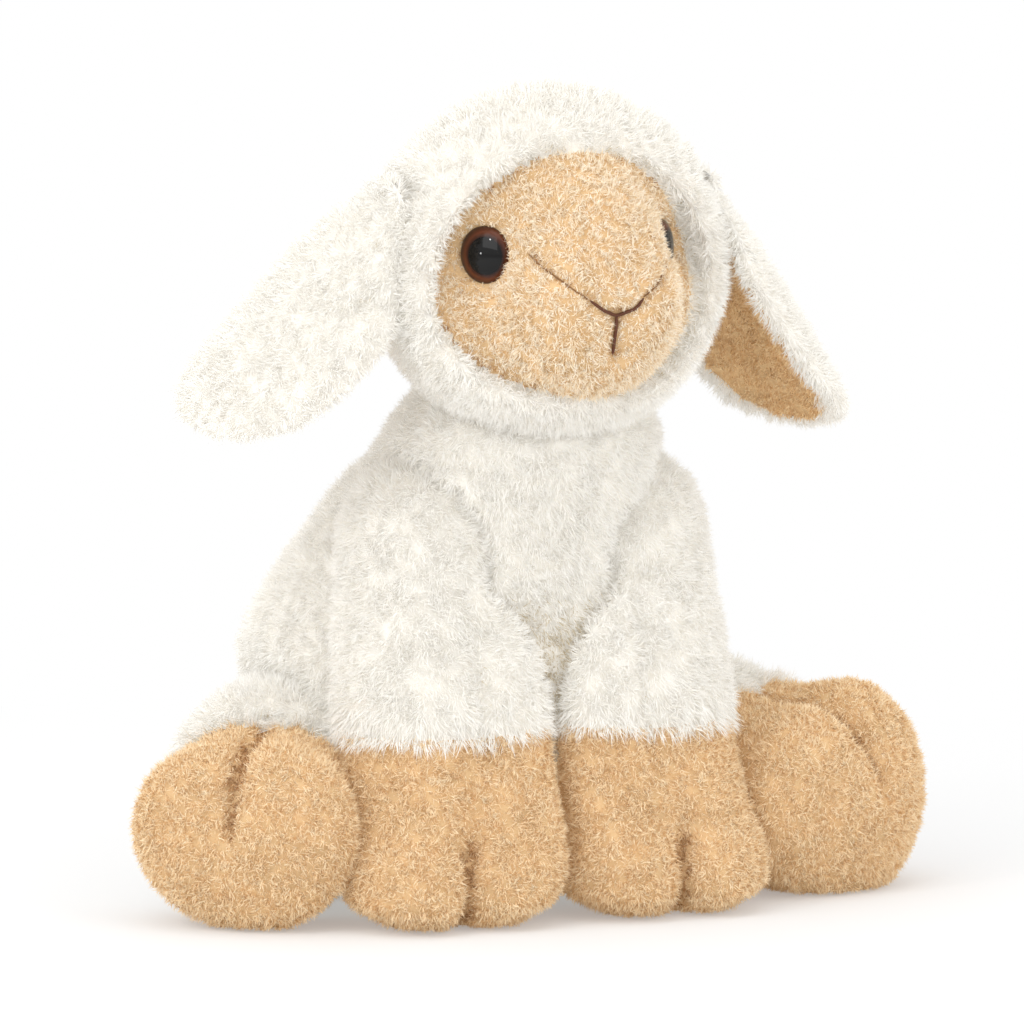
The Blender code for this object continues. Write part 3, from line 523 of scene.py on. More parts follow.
def stuffed_skin(body, nodes, finishes, voxel, rounds, lean=None, push=None):
    """One closed skin round the CAD nodes: copied, merged, remeshed in voxels and relaxed.

    finishes is one material, or two for skins of two fabrics, whose faces take the one of the nearer node,
    as nearer_to says with lean. push gives how the stuffing moves the skin at points with their normals.
    """
    bm = bmesh.new()
    for node in nodes:
        bm.from_mesh(frame["nodes"][node].data)
    bmesh.ops.remove_doubles(bm, verts=bm.verts, dist=JOINED)
    name = f"{body}_skin"
    solids = bpy.data.meshes.new(name)
    bm.to_mesh(solids)
    bm.free()
    skin = new_object(name, solids)
    remesh = skin.modifiers.new("one skin", "REMESH")
    remesh.mode = "VOXEL"
    remesh.voxel_size = voxel
    mesh = bpy.data.meshes.new_from_object(skin.evaluated_get(bpy.context.evaluated_depsgraph_get()))
    skin.modifiers.clear()
    skin.data = mesh
    bpy.data.meshes.remove(solids)
    mesh.name = name
    set_points(mesh, relaxed(mesh_arrays(mesh)[0], mesh_edges(mesh), rounds))
    if push is not None:
        points, normals, _ = mesh_arrays(mesh)
        set_points(mesh, points + push(points, normals))
    for finish in finishes:
        mesh.materials.append(finish)
    if len(finishes) > 1:
        middles = rows(mesh.polygons, "center", 3)
        second = ~nearer_to(middles, nodes[0], nodes[1], 0.0 if lean is None else lean(middles))
        mesh.polygons.foreach_set("material_index", second.astype(np.int32))
    mesh.polygons.foreach_set("use_smooth", np.ones(len(mesh.polygons), bool))
    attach(skin, body)
    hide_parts(*nodes)
    return skin


def waves(points, size, seed):
    """A smooth random vector at each point: the sum of sixteen sine waves about one size long."""
    draw = np.random.default_rng(seed)
    ways = draw.normal(size=(16, 3))
    ways *= (2 * math.pi / size / np.linalg.norm(ways, axis=1) * draw.uniform(0.6, 1.5, 16))[:, None]
    phases = draw.uniform(0, 2 * math.pi, 16)
    pulls = draw.normal(size=(16, 3)) / math.sqrt(8)
    return np.sin(points @ ways.T + phases) @ pulls


def white_pile(**changes):
    """Long white pile: lengths in metres, ways as shares of a unit vector, tints from dark to light, which
    are painted shade and painted highlight.
    """
    pile = settings("pile")
    kinds = dict(
        strand=pile.white_length,
        width=pile.white_width,
        density=pile.white_density,
        # glow is the strength of the strands' painted glow.
        glow=pile.white_painted_glow,
        tuft=0.0052,
        lift=0.85,
        comb=0.25,
        swirl=0.27,
        stray=0.22,
        curl=0.38,
        droop=0.1,
        tints=("white_deep", "shade", "cream", "white"),
        weights=(0, 0.08, 0.27, 0.65),
        # deep is how much painted shade a hollow gives the pile.
        deep=0.45,
    )
    return SimpleNamespace(**(kinds | changes))


def tan_pile(**changes):
    """Short curled tan pile, as on the hooves and feet."""
    pile = settings("pile")
    kinds = dict(
        strand=pile.tan_length,
        width=pile.tan_width,
        density=pile.tan_density,
        # glow is the strength of the strands' painted glow.
        glow=pile.tan_painted_glow,
        tuft=0.0036,
        lift=0.70,
        comb=0.15,
        swirl=0.42,
        stray=0.3,
        curl=0.9,
        droop=0.0,
        tints=("tan_deep", "honey", "tan", "sand"),
        weights=(0, 0.12, 0.40, 0.48),
        # deep is how much painted shade a hollow gives the pile.
        deep=0.75,
    )
    return SimpleNamespace(**(kinds | changes))


def face_pile():
    """The tan pile of the face, which is paler and has less painted shade in its hollows."""
    return tan_pile(tints=("tan_deep", "face_honey", "face_tan", "face_sand"), deep=0.35)


def lining_pile():
    """The shorter, darker tan pile of the ear linings."""
    tints = ("tan_deep", "lining_dark", "lining")
    return tan_pile(strand=settings("pile").lining_length, tints=tints, weights=(0, 0.3, 0.7))


def scattered(skin, density, draw):
    """Random points on a skin with their normals and how hollow it is there, so many to a square mm."""
    points, normals, triangles = mesh_arrays(skin.data)
    depth = hollows(points, normals, mesh_edges(skin.data))
    a, b, c = (points[triangles[:, k]] for k in range(3))
    areas = np.linalg.norm(np.cross(b - a, c - a), axis=1) / 2
    count = int(areas.sum() * 1e6 * density)
    corners = triangles[draw.choice(len(triangles), count, p=areas / areas.sum())]
    u, v = draw.random((2, count))
    over = u + v > 1
    u, v = np.where(over, 1 - u, u), np.where(over, 1 - v, v)
    shares = [share[:, None] for share in (1 - u - v, u, v)]

    def blend(values):
        """The values at each spot, from those at the corners of its triangle."""
        return sum(values[corners[:, k]] * share for k, share in enumerate(shares))

    return blend(points), unit(blend(normals)), blend(depth[:, None])[:, 0]


def raised(ways, facing, least):
    """The ways, turned up from the skin as far as each needs to rise by the least share of its length."""
    low = np.sum(ways * facing, axis=1)
    return unit(ways + facing * np.maximum(least - low, 0)[:, None])


def grow(spots, facing, pile, flow, draw, lengths):
    """The four points of every strand: one at the root, two at the bend and one at the tip.

    A strand leaves its skin along lift x normal + comb x flow + swirl x waves + stray x noise, made a unit
    vector, and its outer half is turned again by curl x waves + droop x flow. Its width is turned at
    random. The waves are about one tuft long.
    """
    count = len(spots)
    run = flow - facing * np.sum(flow * facing, axis=1)[:, None]
    noise = draw.normal(size=(count, 3))
    tufts = 0.6 * waves(spots, pile.tuft * 2.2, 5) + waves(spots, pile.tuft, 6)
    out = unit(pile.lift * facing + pile.comb * run + pile.swirl * tufts + pile.stray * noise)
    out = raised(out, facing, LEAST_RISE)
    bend = waves(spots, pile.tuft * 0.55, 7) + 0.6 * draw.normal(size=(count, 3))
    over = raised(unit(out + pile.curl * bend + pile.droop * run), facing, LEAST_BEND)
    reach = pile.strand * draw.uniform(SHORTEST, LONGEST, count) * lengths
    root = spots - facing * ROOT_DEPTH
    knee = root + out * (reach * BELOW_BEND)[:, None]
    tip = knee + over * (reach * ABOVE_BEND)[:, None]
    side = unit(np.cross(out, draw.normal(size=(count, 3)))) * (pile.width / 2)
    strands = np.stack((root, knee - side, knee + side, tip), axis=1)
    strands[:, :, 2] = np.maximum(strands[:, :, 2], GROUND)
    return strands


def lay_pile(name, body, strands, pile, draw, shade):
    """Makes pieces of strands, from front to back, each with fewer triangles than the limit, on a body.

    The tints run from dark to light. A strand's root is one tint darker than its tip, painted shade deep in
    the pile, and shade, which is painted shade, moves both towards the dark ones. Only shade gives a strand
    the darkest tint, which has the least painted glow.
    """
    order = np.argsort(strands[:, 0, 1], kind="stable")
    strands = strands[order]
    weights = np.array(pile.weights, float)
    mix = np.minimum(draw.random(len(strands)) - shade[order], 0.9999)
    tip = np.searchsorted(np.cumsum(weights / weights.sum()), mix, side="right")
    tip = np.minimum(tip, len(weights) - 1)
    # Each root is one tint darker than its tip: painted shade deep in the pile.
    root = np.maximum(tip - 1, np.minimum(tip, 1))
    slots = np.stack((root, tip), axis=1)
    most = PIECE_TRIANGLES // len(STRAND_FACES)
    pieces = max(1, math.ceil(len(strands) / most))
    for piece, part in enumerate(np.array_split(np.arange(len(strands)), pieces), 1):
        label = name if pieces == 1 else f"{name}_{piece}"
        firsts = 4 * np.arange(len(part))
        faces = (STRAND_FACES[None] + firsts[:, None, None]).reshape(-1, 3)
        mesh = triangle_mesh(label, strands[part].reshape(-1, 3), faces, slots[part].ravel())
        for k, tint in enumerate(pile.tints):
            # Each tint's share of the painted glow: least for the darkest, so hollows stay dark, and most
            # for the root tints, which lifts the shade deep in the pile.
            through = 0.3 if k == 0 else 1.5 - 0.7 * k / (len(pile.tints) - 1)
            mesh.materials.append(strand_material(tint, pile.glow * through))
        made = new_object(label, mesh)
        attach(made, body)


def cover(skin, pile, flow, name, keep=None, lengths=None, dim=None):
    """Scatters, grows and lays one kind of pile over a skin, or over what keep says of it.

    A hollow has shorter strands, and darker ones, which is painted shade. lengths scales the strands, and
    dim adds to their painted shade.
    """
    draw = np.random.default_rng(zlib.crc32(name.encode()))
    spots, facing, depth = scattered(skin, pile.density, draw)
    if keep is not None:
        kept = keep(spots)
        spots, facing, depth = spots[kept], facing[kept], depth[kept]
    scale = 1 - 0.28 * np.clip(depth / HOLLOW_FULL, 0, 1)
    if lengths is not None:
        scale *= lengths(spots)
    # Painted shade: hollows, and what dim says, move the strands to darker tints.
    shade = pile.deep * smooth_step(depth, HOLLOW_START, HOLLOW_FULL)
    if dim is not None:
        shade = np.maximum(shade, dim(spots))
    strands = grow(spots, facing, pile, flow(spots, facing), draw, scale)
    lay_pile(name, skin["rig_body"], strands, pile, draw, shade)


def down(spots, _):
    """A flow that runs straight down."""
    return np.broadcast_to(np.array((0.0, 0.0, -1.0)), spots.shape)


def away_from(point, fall=0.4):
    """A flow that runs away from a point over the surface, and a little down."""

    def flow(spots, _):
        return unit(spots - np.array(point)) + np.array((0, 0, -fall))

    return flow


class LAMB_OT_body(bpy.types.Operator):
    """The torso's skin and pile, and the skin of the neck inside it"""

    bl_idname = "lamb.body"
    bl_label = "Body"

    def execute(self, context):
        nodes = ("torso_cover", "torso_filling", "seat_pellet_bag")

        def flanks(points, normals):
            """The sides and the back swell, but less near the chest, neck, seat, limbs and tail."""
            swell = smooth_step(points[:, 1], -0.035, 0.005) * smooth_step(points[:, 2], 0.025, 0.060)
            swell *= 1 - smooth_step(points[:, 2], 0.118, 0.142)
            swell *= smooth_step(distance_to(points, "tail"), 0.004, 0.022)
            for label, _ in SIDES:
                for node in (f"{label}_foreleg_sleeve", f"{label}_thigh_cover"):
                    swell *= smooth_step(distance_to(points, node), 0.002, 0.014)
            return normals * (FLANK_SWELL * swell)[:, None]

        def between_legs(points):
            """How far each point lies in the narrow gap between the forelegs, where the pile is shorter and
            gets painted shade.
            """
            gap = 1 - smooth_step(np.abs(points[:, 0]), 0.010, 0.026)
            gap *= smooth_step(-points[:, 1], 0.020, 0.045)
            return 0.95 * gap * (1 - smooth_step(points[:, 2], 0.070, 0.100))

        skin = stuffed_skin("torso", nodes, backings("white"), 0.0032, 3, push=flanks)
        cover(
            skin,
            white_pile(),
            down,
            "torso_pile",
            keep=lambda p: p[:, 2] > WHITE_FROM,
            lengths=lambda p: 1 - 0.5 * between_legs(p),
            # Painted shade in the gap between the forelegs.
            dim=between_legs,
        )
        stuffed_skin("neck", ("neck_filling",), backings("white"), 0.002, 2)
        return {"FINISHED"}


def overhang(points):
    """How far the hood's white reaches over the face, which is more on the lamb's left."""
    return HOOD_OVERHANG * (1 + 0.9 * smooth_step(points[:, 0], 0.015, 0.040))


def on_hood(points):
    """Whether each point of the head's skin is white."""
    return nearer_to(points, "head_cover", "face_panel", overhang(points))


class LAMB_OT_head(bpy.types.Operator):
    """The skin of hood and face, white pile on the hood, tan pile on the face, and the stitches"""

    bl_idname = "lamb.head"
    bl_label = "Head"

    def execute(self, context):
        nodes = ("head_cover", "face_panel", "head_filling")

        def full(points, normals):
            """The hood swells to a rolled rim round the face, and its crown sinks by part of the pile."""
            off_face = distance_to(points, "face_panel")
            rim = smooth_step(off_face, 0.001, 0.005) * (1 - smooth_step(off_face, 0.010, 0.022))
            rim *= smooth_step(points[:, 2], 0.158, 0.185)
            crown = smooth_step(points[:, 2], 0.205, 0.238) * smooth_step(off_face, 0.004, 0.012)
            return normals * (HOOD_RIM * rim - HOOD_SINK * crown)[:, None]

        fabrics = backings("white", "tan")
        skin = stuffed_skin("head", nodes, fabrics, 0.0020, 3, lean=overhang, push=full)
        lines = [(on_face(skin, path)[0], width, depth) for _, path, width, depth, *_ in stitches()]
        for line, width, depth in lines:
            crease(skin, line, width, depth)
        low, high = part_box("head_cover")
        middle = np.array((0, (low.y + high.y) / 2, (low.z + high.z) / 2))
        eyes = [eye_axis(label, side)[:2] for label, side in SIDES]

        def clear_hood(points):
            return on_hood(points) & (distance_to(points, "neck_filling") > NECK_CLEAR)

        def clear_face(points):
            clear = ~on_hood(points)
            for spot, look in eyes:
                off, ahead = from_axis(points, spot, look)
                clear &= (np.linalg.norm(off, axis=1) > EYE_CLEAR) | (ahead < EYE_BEHIND)
            return clear

        def past_eyes(points, _):
            """Away from the head's middle, and away from an eye near it."""
            ways = unit(points - middle)
            for spot, look in eyes:
                off, _ = from_axis(points, spot, look)
                near = np.exp(-((np.linalg.norm(off, axis=1) / EYE_PARTING) ** 4))
                ways += unit(off) * (4 * near)[:, None]
            return ways

        def trimmed(points):
            """Short along the stitches and round the eyes."""
            scale = np.ones(len(points))
            for line, width, _ in lines:
                scale *= 1 - 0.6 * np.exp(-((from_line(points, line) / width) ** 2))
            for spot, look in eyes:
                off, _ = from_axis(points, spot, look)
                scale *= 1 - 0.45 * np.exp(-((np.linalg.norm(off, axis=1) / EYE_TRIM) ** 6))
            return scale

        cover(skin, white_pile(deep=0.15), away_from(middle), "hood_pile", keep=clear_hood)
        cover(skin, face_pile(), past_eyes, "face_pile", keep=clear_face, lengths=trimmed)
        for name, path, _, _, finish, thickness, lift in stitches():
            make_thread(name, *on_face(skin, path), finish, thickness, lift)
        plastic = material("washer_plastic", washer_finish)
        for label, _ in SIDES:
            washer = frame["nodes"][f"{label}_eye_washer"]
            washer.data.materials.clear()
            washer.data.materials.append(plastic)
        return {"FINISHED"}


def on_face(skin, path, steps=6):
    """Points on the front of the head's skin and its normals there, along a path of (x, z) places."""
    path = np.array(path)
    share = np.linspace(0, len(path) - 1, (len(path) - 1) * steps + 1)
    across, height = (np.interp(share, np.arange(len(path)), path[:, k]) for k in (0, 1))
    starts = eased(np.stack((across, np.full(len(share), -RAY_START), height), axis=1), 4)
    points, normals = landed(skin, starts, (0, 1, 0))
    return eased(points, 6), unit(eased(normals, 6))


def stitches():
    """The stitched lines and the seams from the nose to the eyes.

    Each has its name, its path, its crease's width and depth, and its thread's material, its share of the
    thread's radius, and its lift as a share of its own.
    """
    face = settings("face")
    brown = material("thread_brown", lambda name: Finish(name, 0.7, face.thread))
    tan = material("thread_tan", lambda name: Finish(name, 0.8, face.seam))
    lines = [
        ("nose_stitch", NOSE, 0.0022, 0.0016, brown, 1.0, 1.6),
        ("mouth_stitch", MOUTH, 0.0026, 0.0022, brown, 1.0, 1.6),
    ]
    for label, side in SIDES:
        path = [(side * x, z) for x, z in SEAM]
        lines.append((f"{label}_seam", path, 0.0020, 0.0022, tan, 0.56, 1.2))
    return lines


def ring_faces(rings, turns):
    """The quads between neighbouring rings, each of so many points."""
    row, k = np.meshgrid(np.arange(rings - 1) * turns, np.arange(turns), indexing="ij")
    after = (k + 1) % turns
    return np.stack((row + k, row + after, row + turns + after, row + turns + k), axis=2).reshape(-1, 4)


def make_thread(name, points, normals, finish, thickness, lift):
    """A thread along the points: a circle swept along them, lifted by lift x its radius and closed at both
    ends.
    """
    radius = settings("face").thread_radius * thickness
    along = unit(np.gradient(points, axis=0))
    across = unit(np.cross(along, normals))
    above = np.cross(across, along)
    share = np.linspace(0, 1, len(points))
    thick = radius * np.sqrt(np.clip(1 - (2 * share - 1) ** 8, 0, 1))
    turns = np.linspace(0, 2 * math.pi, THREAD_TURNS, endpoint=False)
    ring = np.cos(turns)[None, :, None] * across[:, None] + np.sin(turns)[None, :, None] * above[:, None]
    surface = points[:, None] + above[:, None] * radius * lift + ring * thick[:, None, None]
    mesh = quad_mesh(name, surface.reshape(-1, 3), ring_faces(len(points), THREAD_TURNS))
    mesh.materials.append(finish)
    made = new_object(name, mesh)
    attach(made, "head")


def eye_axis(label, side):
    """The middle of an eye's back, the way that it looks, its radius and its height, from its CAD node."""
    turn = settings("face").eye_turn
    look = np.array((side * math.sin(turn), -math.cos(turn), 0.0))
    points = mesh_arrays(frame["nodes"][f"{label}_eye"].data)[0]
    middle = points.mean(axis=0)
    off, height = from_axis(points, middle, look)
    radius = np.linalg.norm(off, axis=1)
    return middle + look * height[radius > radius.max() * 0.95].min(), look, radius.max(), height.max()


def revolved(profile, turns, centre, along):
    """A surface of revolution: centre + height x along + radius x (cos turn, sin turn) across it."""
    across = np.cross(along, (0.0, 0.0, 1.0))
    across /= np.linalg.norm(across)
    upward = np.cross(across, along)
    angles = np.linspace(0, 2 * math.pi, turns, endpoint=False)
    ring = np.cos(angles)[:, None] * across + np.sin(angles)[:, None] * upward
    points = centre + profile[:, None, 1:] * along + profile[:, None, :1] * ring[None]
    return points.reshape(-1, 3), ring_faces(len(profile), turns)


def quad_mesh(name, points, faces, values=None):
    """A mesh of quads whose coincident points are joined and whose faces point outwards.

    values, two to a point, go into a UV map called "place".
    """
    mesh = bpy.data.meshes.new(name)
    mesh.from_pydata(points.tolist(), [], faces.tolist())
    if values is not None:
        layer = mesh.uv_layers.new(name="place")
        corner = rows(mesh.loops, "vertex_index", 1, np.int32)[:, 0]
        layer.data.foreach_set("uv", np.asarray(values, np.float32)[corner].ravel())
    bm = bmesh.new()
    bm.from_mesh(mesh)
    bmesh.ops.remove_doubles(bm, verts=bm.verts, dist=JOINED)
    bmesh.ops.recalc_face_normals(bm, faces=bm.faces)
    bm.to_mesh(mesh)
    bm.free()
    mesh.shade_smooth()
    return mesh


def eye_finish(name):
    """Black pupil in a brown ring, by the distance from the middle of the pupil in the UV map."""
    face = settings("face")
    gloss = {"Specular IOR Level": 0.05, "Coat Weight": 1.0, "Coat Roughness": 0.015, "Coat IOR": 1.32}
    finish = Finish(name, 0.4, constants=gloss)
    spot = finish.add("ShaderNodeUVMap", {"uv_map": "place"}, {})
    out = finish.add("ShaderNodeVectorMath", {"operation": "LENGTH"}, {0: spot}, "Value")
    grain = finish.add("ShaderNodeTexNoise", {}, {"Vector": spot, "Scale": 9.0, "Detail": 3.0})
    stops = (
        (0.0, face.pupil),
        (PUPIL_SHARE, face.pupil),
        (PUPIL_SHARE + 0.05, face.iris_dark),
        (0.82, face.iris),
        (1.0, face.iris_dark),
    )
    shade = finish.add("ShaderNodeValToRGB", {"stops": stops}, {0: out + grain * 0.06 - 0.03})
    return finish.feed("Base Color", shade)


def washer_finish(name):
    """Moulded plastic, off-white, with a fine matt grain."""
    finish = Finish(name, 0.5)
    place = finish.add("ShaderNodeTexCoord", {}, {}, "Object")
    grain = finish.add("ShaderNodeTexNoise", {}, {"Vector": place, "Scale": 2500.0, "Detail": 2.0})
    stops = ((0.3, (0.84, 0.83, 0.80)), (0.7, (0.90, 0.89, 0.86)))
    tint = finish.add("ShaderNodeValToRGB", {"stops": stops}, {0: grain})
    bump = finish.add("ShaderNodeBump", {}, {"Height": grain, "Distance": 0.0001, "Strength": 0.4})
    return finish.feed("Base Color", tint).feed("Roughness", grain * 0.2 + 0.4).feed("Normal", bump)


class LAMB_OT_eyes(bpy.types.Operator):
    """The eyes: glossy domes with a black pupil in a brown ring"""

    bl_idname = "lamb.eyes"
    bl_label = "Eyes"

    def execute(self, context):
        for label, side in SIDES:
            make_eye(label, side)
        return {"FINISHED"}


def make_eye(label, side):
    """A dome whose profile is a quarter ellipse above a rounded rim, with a flat back.

    Its UV map is the place across the eye's axis, in radii, from the middle of the pupil, which lies a
    little forward of the axis.
    """
    centre, look, radius, height = eye_axis(label, side)
    turn = np.linspace(0, math.pi / 2, 18)
    rim = EYE_RIM_SHARE * height
    dome = np.stack((radius * np.cos(turn), rim + (height - rim) * np.sin(turn)), axis=1)
    profile = np.vstack(((0, 0), (radius * 0.5, 0), (radius * 0.96, 0), (radius, rim * 0.4), dome))
    points, faces = revolved(profile, 48, centre, look)
    forward = np.cross(look, (0.0, 0.0, side))
    place = np.stack(((points - centre) @ forward - PUPIL_LEAN, (points - centre)[:, 2]), axis=1) / radius
    mesh = quad_mesh(f"{label}_eye_dome", points, faces, place)
    mesh.materials.append(material("eye_gloss", eye_finish))
    eye = new_object(f"{label}_eye_dome", mesh)
    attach(eye, "head")
    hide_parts(f"{label}_eye")


class LAMB_OT_ears(bpy.types.Operator):
    """The ears' skins, white pile outside and tan pile on the lining"""

    bl_idname = "lamb.ears"
    bl_label = "Ears"

    def execute(self, context):
        fabrics = backings("white", "lining")
        for label, side in SIDES:
            nodes = (f"{label}_ear_cover", f"{label}_ear_lining")
            low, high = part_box(nodes[0])
            root = np.array((low.x if side > 0 else high.x, (low.y + high.y) / 2, high.z))

            def droop(points, normals, root=root):
                """Slimmer on the upper side, most near the head, and hanging a little towards the tip."""
                along = smooth_step(np.linalg.norm(points - root, axis=1), 0.010, 0.070)
                slim = EAR_LEAST_SLIM + EAR_SLIM * smooth_step(normals[:, 2], 0.0, 0.6) * (1 - 0.6 * along)
                return -normals * slim[:, None] - np.array((0, 0, EAR_SAG)) * along[:, None]

            skin = stuffed_skin(f"{label}_ear", nodes, fabrics, 0.0018, 2, push=droop)
            rim = mesh_arrays(skin.data)[0]
            rim = rim[nearer_to(rim, *nodes)]

            def outside(points, nodes=nodes, rim=rim):
                """The cover's side of the ear, and its rim turned over the edge of the lining."""
                return nearer_to(points, *nodes) | close_to(points, rim, EAR_RIM)

            def inside(points, outside=outside):
                return ~outside(points)

            white = white_pile(strand=0.0040, deep=0.15)
            flow = away_from(root, 0.2)
            cover(skin, white, flow, f"{label}_ear_pile", keep=outside)
            cover(skin, lining_pile(), flow, f"{label}_lining_pile", keep=inside)
        return {"FINISHED"}


def limb(label, kind, nodes, push, cleft):
    """A limb's skin, with white pile as far as the hem and tan pile beyond it."""
    fabrics = backings("white", "tan")
    skin = stuffed_skin(f"{label}_{kind}", nodes, fabrics, 0.0024, 3, push=push)
    crease(skin, cleft(skin), CLEFT_WIDTH, CLEFT_DEPTH)

    def on_white(points):
        return nearer_to(points, *nodes[:2]) & (points[:, 2] > WHITE_FROM)

    def on_tan(points):
        return ~nearer_to(points, *nodes[:2]) & (points[:, 2] > TAN_FROM)

    def hem(points):
        """1 at the hem, and less and less above it."""
        return np.exp(-((distance_to(points, nodes[1]) / 0.009) ** 2))

    def hem_flow(points, facing):
        return down(points, facing) * (1 + 3.5 * hem(points))[:, None]

    def hem_length(points):
        return 1 + 0.45 * hem(points)

    name = f"{label}_{kind}_pile"
    cover(skin, white_pile(), hem_flow, name, keep=on_white, lengths=hem_length)
    cover(skin, tan_pile(), down, f"{label}_{kind}_toe_pile", keep=on_tan)


class LAMB_OT_forelegs(bpy.types.Operator):
    """The forelegs' skins, white pile on the sleeves and tan pile on the hooves"""

    bl_idname = "lamb.forelegs"
    bl_label = "Forelegs"

    def execute(self, context):
        parts = ("foreleg_sleeve", "fore_hoof", "foreleg_filling", "hoof_pellet_bag")
        for label, side in SIDES:

            def closer(points, normals, side=side):
                """The inner side swells towards the other leg, as far as the gap between them allows."""
                inward = smooth_step(-side * normals[:, 0], 0.1, 0.8) * (np.abs(points[:, 0]) < 0.03)
                swell = KNEE_SWELL * inward * smooth_step(points[:, 2], 0.004, 0.030)
                swell *= 1 - smooth_step(points[:, 2], 0.075, 0.105)
                room = np.maximum(side * points[:, 0] - KNEE_GAP, 0)
                return normals * np.minimum(swell, room)[:, None]

            def cleft(skin, side=side):
                """Up the front of the hoof between its two toes."""
                heights = np.linspace(0.002, 0.022, 12)
                across = np.full(len(heights), side * HOOF_CLEFT_X)
                starts = np.stack((across, np.full(len(heights), -RAY_START), heights), axis=1)
                return landed(skin, starts, (0, 1, 0))[0]

            limb(label, "foreleg", [f"{label}_{part}" for part in parts], closer, cleft)
        return {"FINISHED"}


class LAMB_OT_hind_legs(bpy.types.Operator):
    """The hind legs' skins, white pile on the thighs and tan pile on the feet"""

    bl_idname = "lamb.hind_legs"
    bl_label = "Hind legs"

    def execute(self, context):
        parts = ("thigh_cover", "hind_foot", "hind_leg_filling", "foot_pellet_bag")
        for label, side in SIDES:

            def outer(points, normals, side=side, foot=f"{label}_hind_foot"):
                """The left foot is fuller at its outer toe, and the right one slimmer and flat on top."""
                toe = smooth_step(side * points[:, 0], 0.080, 0.112)
                if side > 0:
                    swell = OUTER_TOE * toe
                else:
                    swell = INNER_TOE * toe + FLAT_TOP * smooth_step(points[:, 2], 0.045, 0.062)
                return normals * (swell * (distance_to(points, foot) < 0.004))[:, None]

            def cleft(skin, side=side):
                """Down the front of the foot from its top, between the two toes."""
                along = np.array((side * math.sin(FOOT_TURN), -math.cos(FOOT_TURN), 0))
                heights = np.linspace(0.060, 0.030, 14)[:, None] * np.array((0, 0, 1))
                starts = np.array((side * FOOT_CLEFT_X, 0, 0)) + RAY_START * along + heights
                return landed(skin, starts, -along)[0]

            limb(label, "hind_leg", [f"{label}_{part}" for part in parts], outer, cleft)
        return {"FINISHED"}


class LAMB_OT_tail(bpy.types.Operator):
    """The tail's skin and pile"""

    bl_idname = "lamb.tail"
    bl_label = "Tail"

    def execute(self, context):
        skin = stuffed_skin("tail", ("tail",), backings("white"), 0.002, 2)
        cover(skin, white_pile(), down, "tail_pile")
        return {"FINISHED"}


class LAMB_OT_stage(bpy.types.Operator):
    """The floor, the lights, the world and the camera"""

    bl_idname = "lamb.stage"
    bl_label = "Stage"

    def execute(self, context):
        stage = settings("stage")
        context.scene.view_settings.view_transform = "Standard"
        make_floor()
        make_world(stage)
        make_lights(stage)
        make_camera(context.scene, stage)
        return {"FINISHED"}


def make_floor():
    """A wide pale floor that shows as white, less the lamb's shadow."""
    h = FLOOR_HALF
    corners = np.array(((-h, -h, 0), (h, -h, 0), (h, h, 0), (-h, h, 0)))
    mesh = triangle_mesh("floor", corners, np.array(((0, 1, 2), (0, 2, 3))))
    floor = new_object("floor", mesh)
    mesh.materials.append(floor_material())


def floor_material():
    """White to the camera beyond the lamb's shadow, and lit paper near it."""
    finish = Finish("floor_white", 1.0, (0.95, 0.95, 0.95), {"Specular IOR Level": 0.0})
    place = finish.add("ShaderNodeTexCoord", {}, {}, "Object")
    far = finish.add("ShaderNodeVectorMath", {"operation": "LENGTH"}, {0: place}, "Value")
    ends = {1: FLOOR_NEAR, 2: FLOOR_FAR, 3: FLOOR_GLOW, 4: 1.0}
    fade = finish.add("ShaderNodeMapRange", {}, {0: far, **ends})
    seen = finish.add("ShaderNodeLightPath", {}, {}, "Is Camera Ray")
    glow = finish.add("ShaderNodeEmission", {}, {"Color": WHITE, "Strength": 1.0})
    paper = Value(finish, finish.shader.outputs[0])
    mix = finish.add("ShaderNodeMixShader", {}, {0: seen * fade, 1: paper, 2: glow})
    finish.link(mix, finish.tree.nodes["Material Output"].inputs["Surface"])
    return finish.made


def make_world(stage):
    """Even light from all round, which the camera, glossy and clear surfaces see as white."""
    world = bpy.data.worlds.new("studio")
    bpy.context.scene.world = world
    world.use_nodes = True
    world.node_tree.nodes.clear()
    sky = Nodes(world.node_tree)
    kinds = ("Camera", "Transmission", "Glossy")
    camera, clear, glossy = (sky.add("ShaderNodeLightPath", {}, {}, f"Is {kind} Ray") for kind in kinds)
    either = {"operation": "ADD", "use_clamp": True}
    seen = sky.add("ShaderNodeMath", either, {0: camera, 1: clear + glossy})
    even = sky.add("ShaderNodeBackground", {}, {"Color": WHITE, "Strength": stage.world})
    white = sky.add("ShaderNodeBackground", {}, {"Color": WHITE, "Strength": 1.0})
    mix = sky.add("ShaderNodeMixShader", {}, {0: seen, 1: even, 2: white})
    sky.link(mix, sky.tree.nodes.new("ShaderNodeOutputWorld").inputs["Surface"])


def toward(azimuth, elevation):
    """The unit vector from the lamb at an angle round it and an angle above the floor, in degrees."""
    turn, rise = math.radians(azimuth), math.radians(elevation)
    return Vector((math.sin(turn) * math.cos(rise), -math.cos(turn) * math.cos(rise), math.sin(rise)))


def turned(made, place, rotation):
    """Puts a lamp or the camera at a place, turned by a quaternion."""
    made.location = place
    made.rotation_mode = "QUATERNION"
    made.rotation_quaternion = rotation


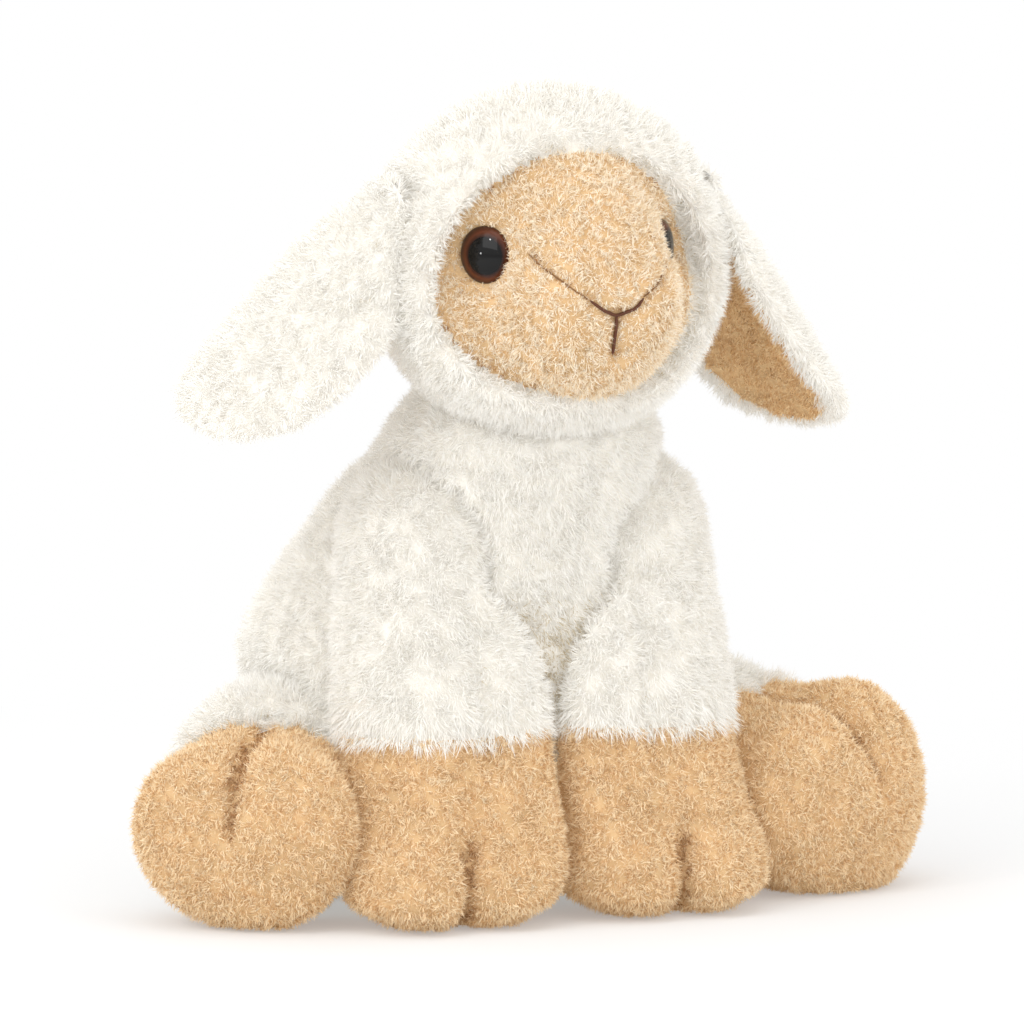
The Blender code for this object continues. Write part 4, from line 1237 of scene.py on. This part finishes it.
def make_lights(stage):
    """A soft key from the lamb's right, a fill from its left, a top light and two glints for its eyes."""
    for name, (azimuth, elevation, away, size, share) in LAMPS.items():
        way = toward(azimuth, elevation)
        lamp = bpy.data.lights.new(name, "AREA")
        lamp.energy = stage.key * share
        lamp.size = size
        turned(new_object(name, lamp), Vector(LIT_MIDDLE) + way * away, (-way).to_track_quat("-Z", "Y"))


def make_camera(scene, stage):
    """A long lens whose picture has the stage's scale at the lamb, and the photograph's framing."""
    turn = math.radians(stage.azimuth)
    back = toward(stage.azimuth, stage.elevation)
    across = Vector((math.cos(turn), math.sin(turn), 0))
    up = back.cross(across)
    aim = across * AIM_ACROSS + up * AIM_UP + back * AIM_BACK
    lens = bpy.data.cameras.new("camera")
    lens.lens = stage.scale * stage.distance / PICTURE_PIXELS * lens.sensor_width
    lens.clip_start = 0.05
    camera = new_object("camera", lens)
    turned(camera, aim + back * stage.distance, Matrix((across, up, back)).transposed().to_quaternion())
    scene.camera = camera


class LAMB_PT_panel(bpy.types.Panel):
    """Lists the lamb's settings and the operators that build it"""

    bl_idname = "LAMB_PT_panel"
    bl_label = "Plush lamb"
    bl_space_type = "VIEW_3D"
    bl_region_type = "UI"
    bl_category = "Lamb"

    def draw(self, context):
        for name in GROUPS:
            group = getattr(context.scene, name)
            for setting in group.__annotations__:
                self.layout.prop(group, setting)
        for operator in OPERATORS:
            self.layout.operator(operator.bl_idname)


GROUPS = {"lamb_pile": LambPile, "lamb_face": LambFace, "lamb_stage": LambStage}
OPERATORS = (
    LAMB_OT_body,
    LAMB_OT_head,
    LAMB_OT_eyes,
    LAMB_OT_ears,
    LAMB_OT_forelegs,
    LAMB_OT_hind_legs,
    LAMB_OT_tail,
    LAMB_OT_stage,
)


def register():
    for made in (*GROUPS.values(), *OPERATORS, LAMB_PT_panel):
        bpy.utils.register_class(made)
    for name, group in GROUPS.items():
        setattr(bpy.types.Scene, name, PointerProperty(type=group))


def unregister():
    for name in GROUPS:
        delattr(bpy.types.Scene, name)
    for made in reversed((*GROUPS.values(), *OPERATORS, LAMB_PT_panel)):
        bpy.utils.unregister_class(made)


def main():
    register()
    for operator in OPERATORS:
        group, name = operator.bl_idname.split(".")
        getattr(getattr(bpy.ops, group), name)()


if __name__ == "__main__":
    main()
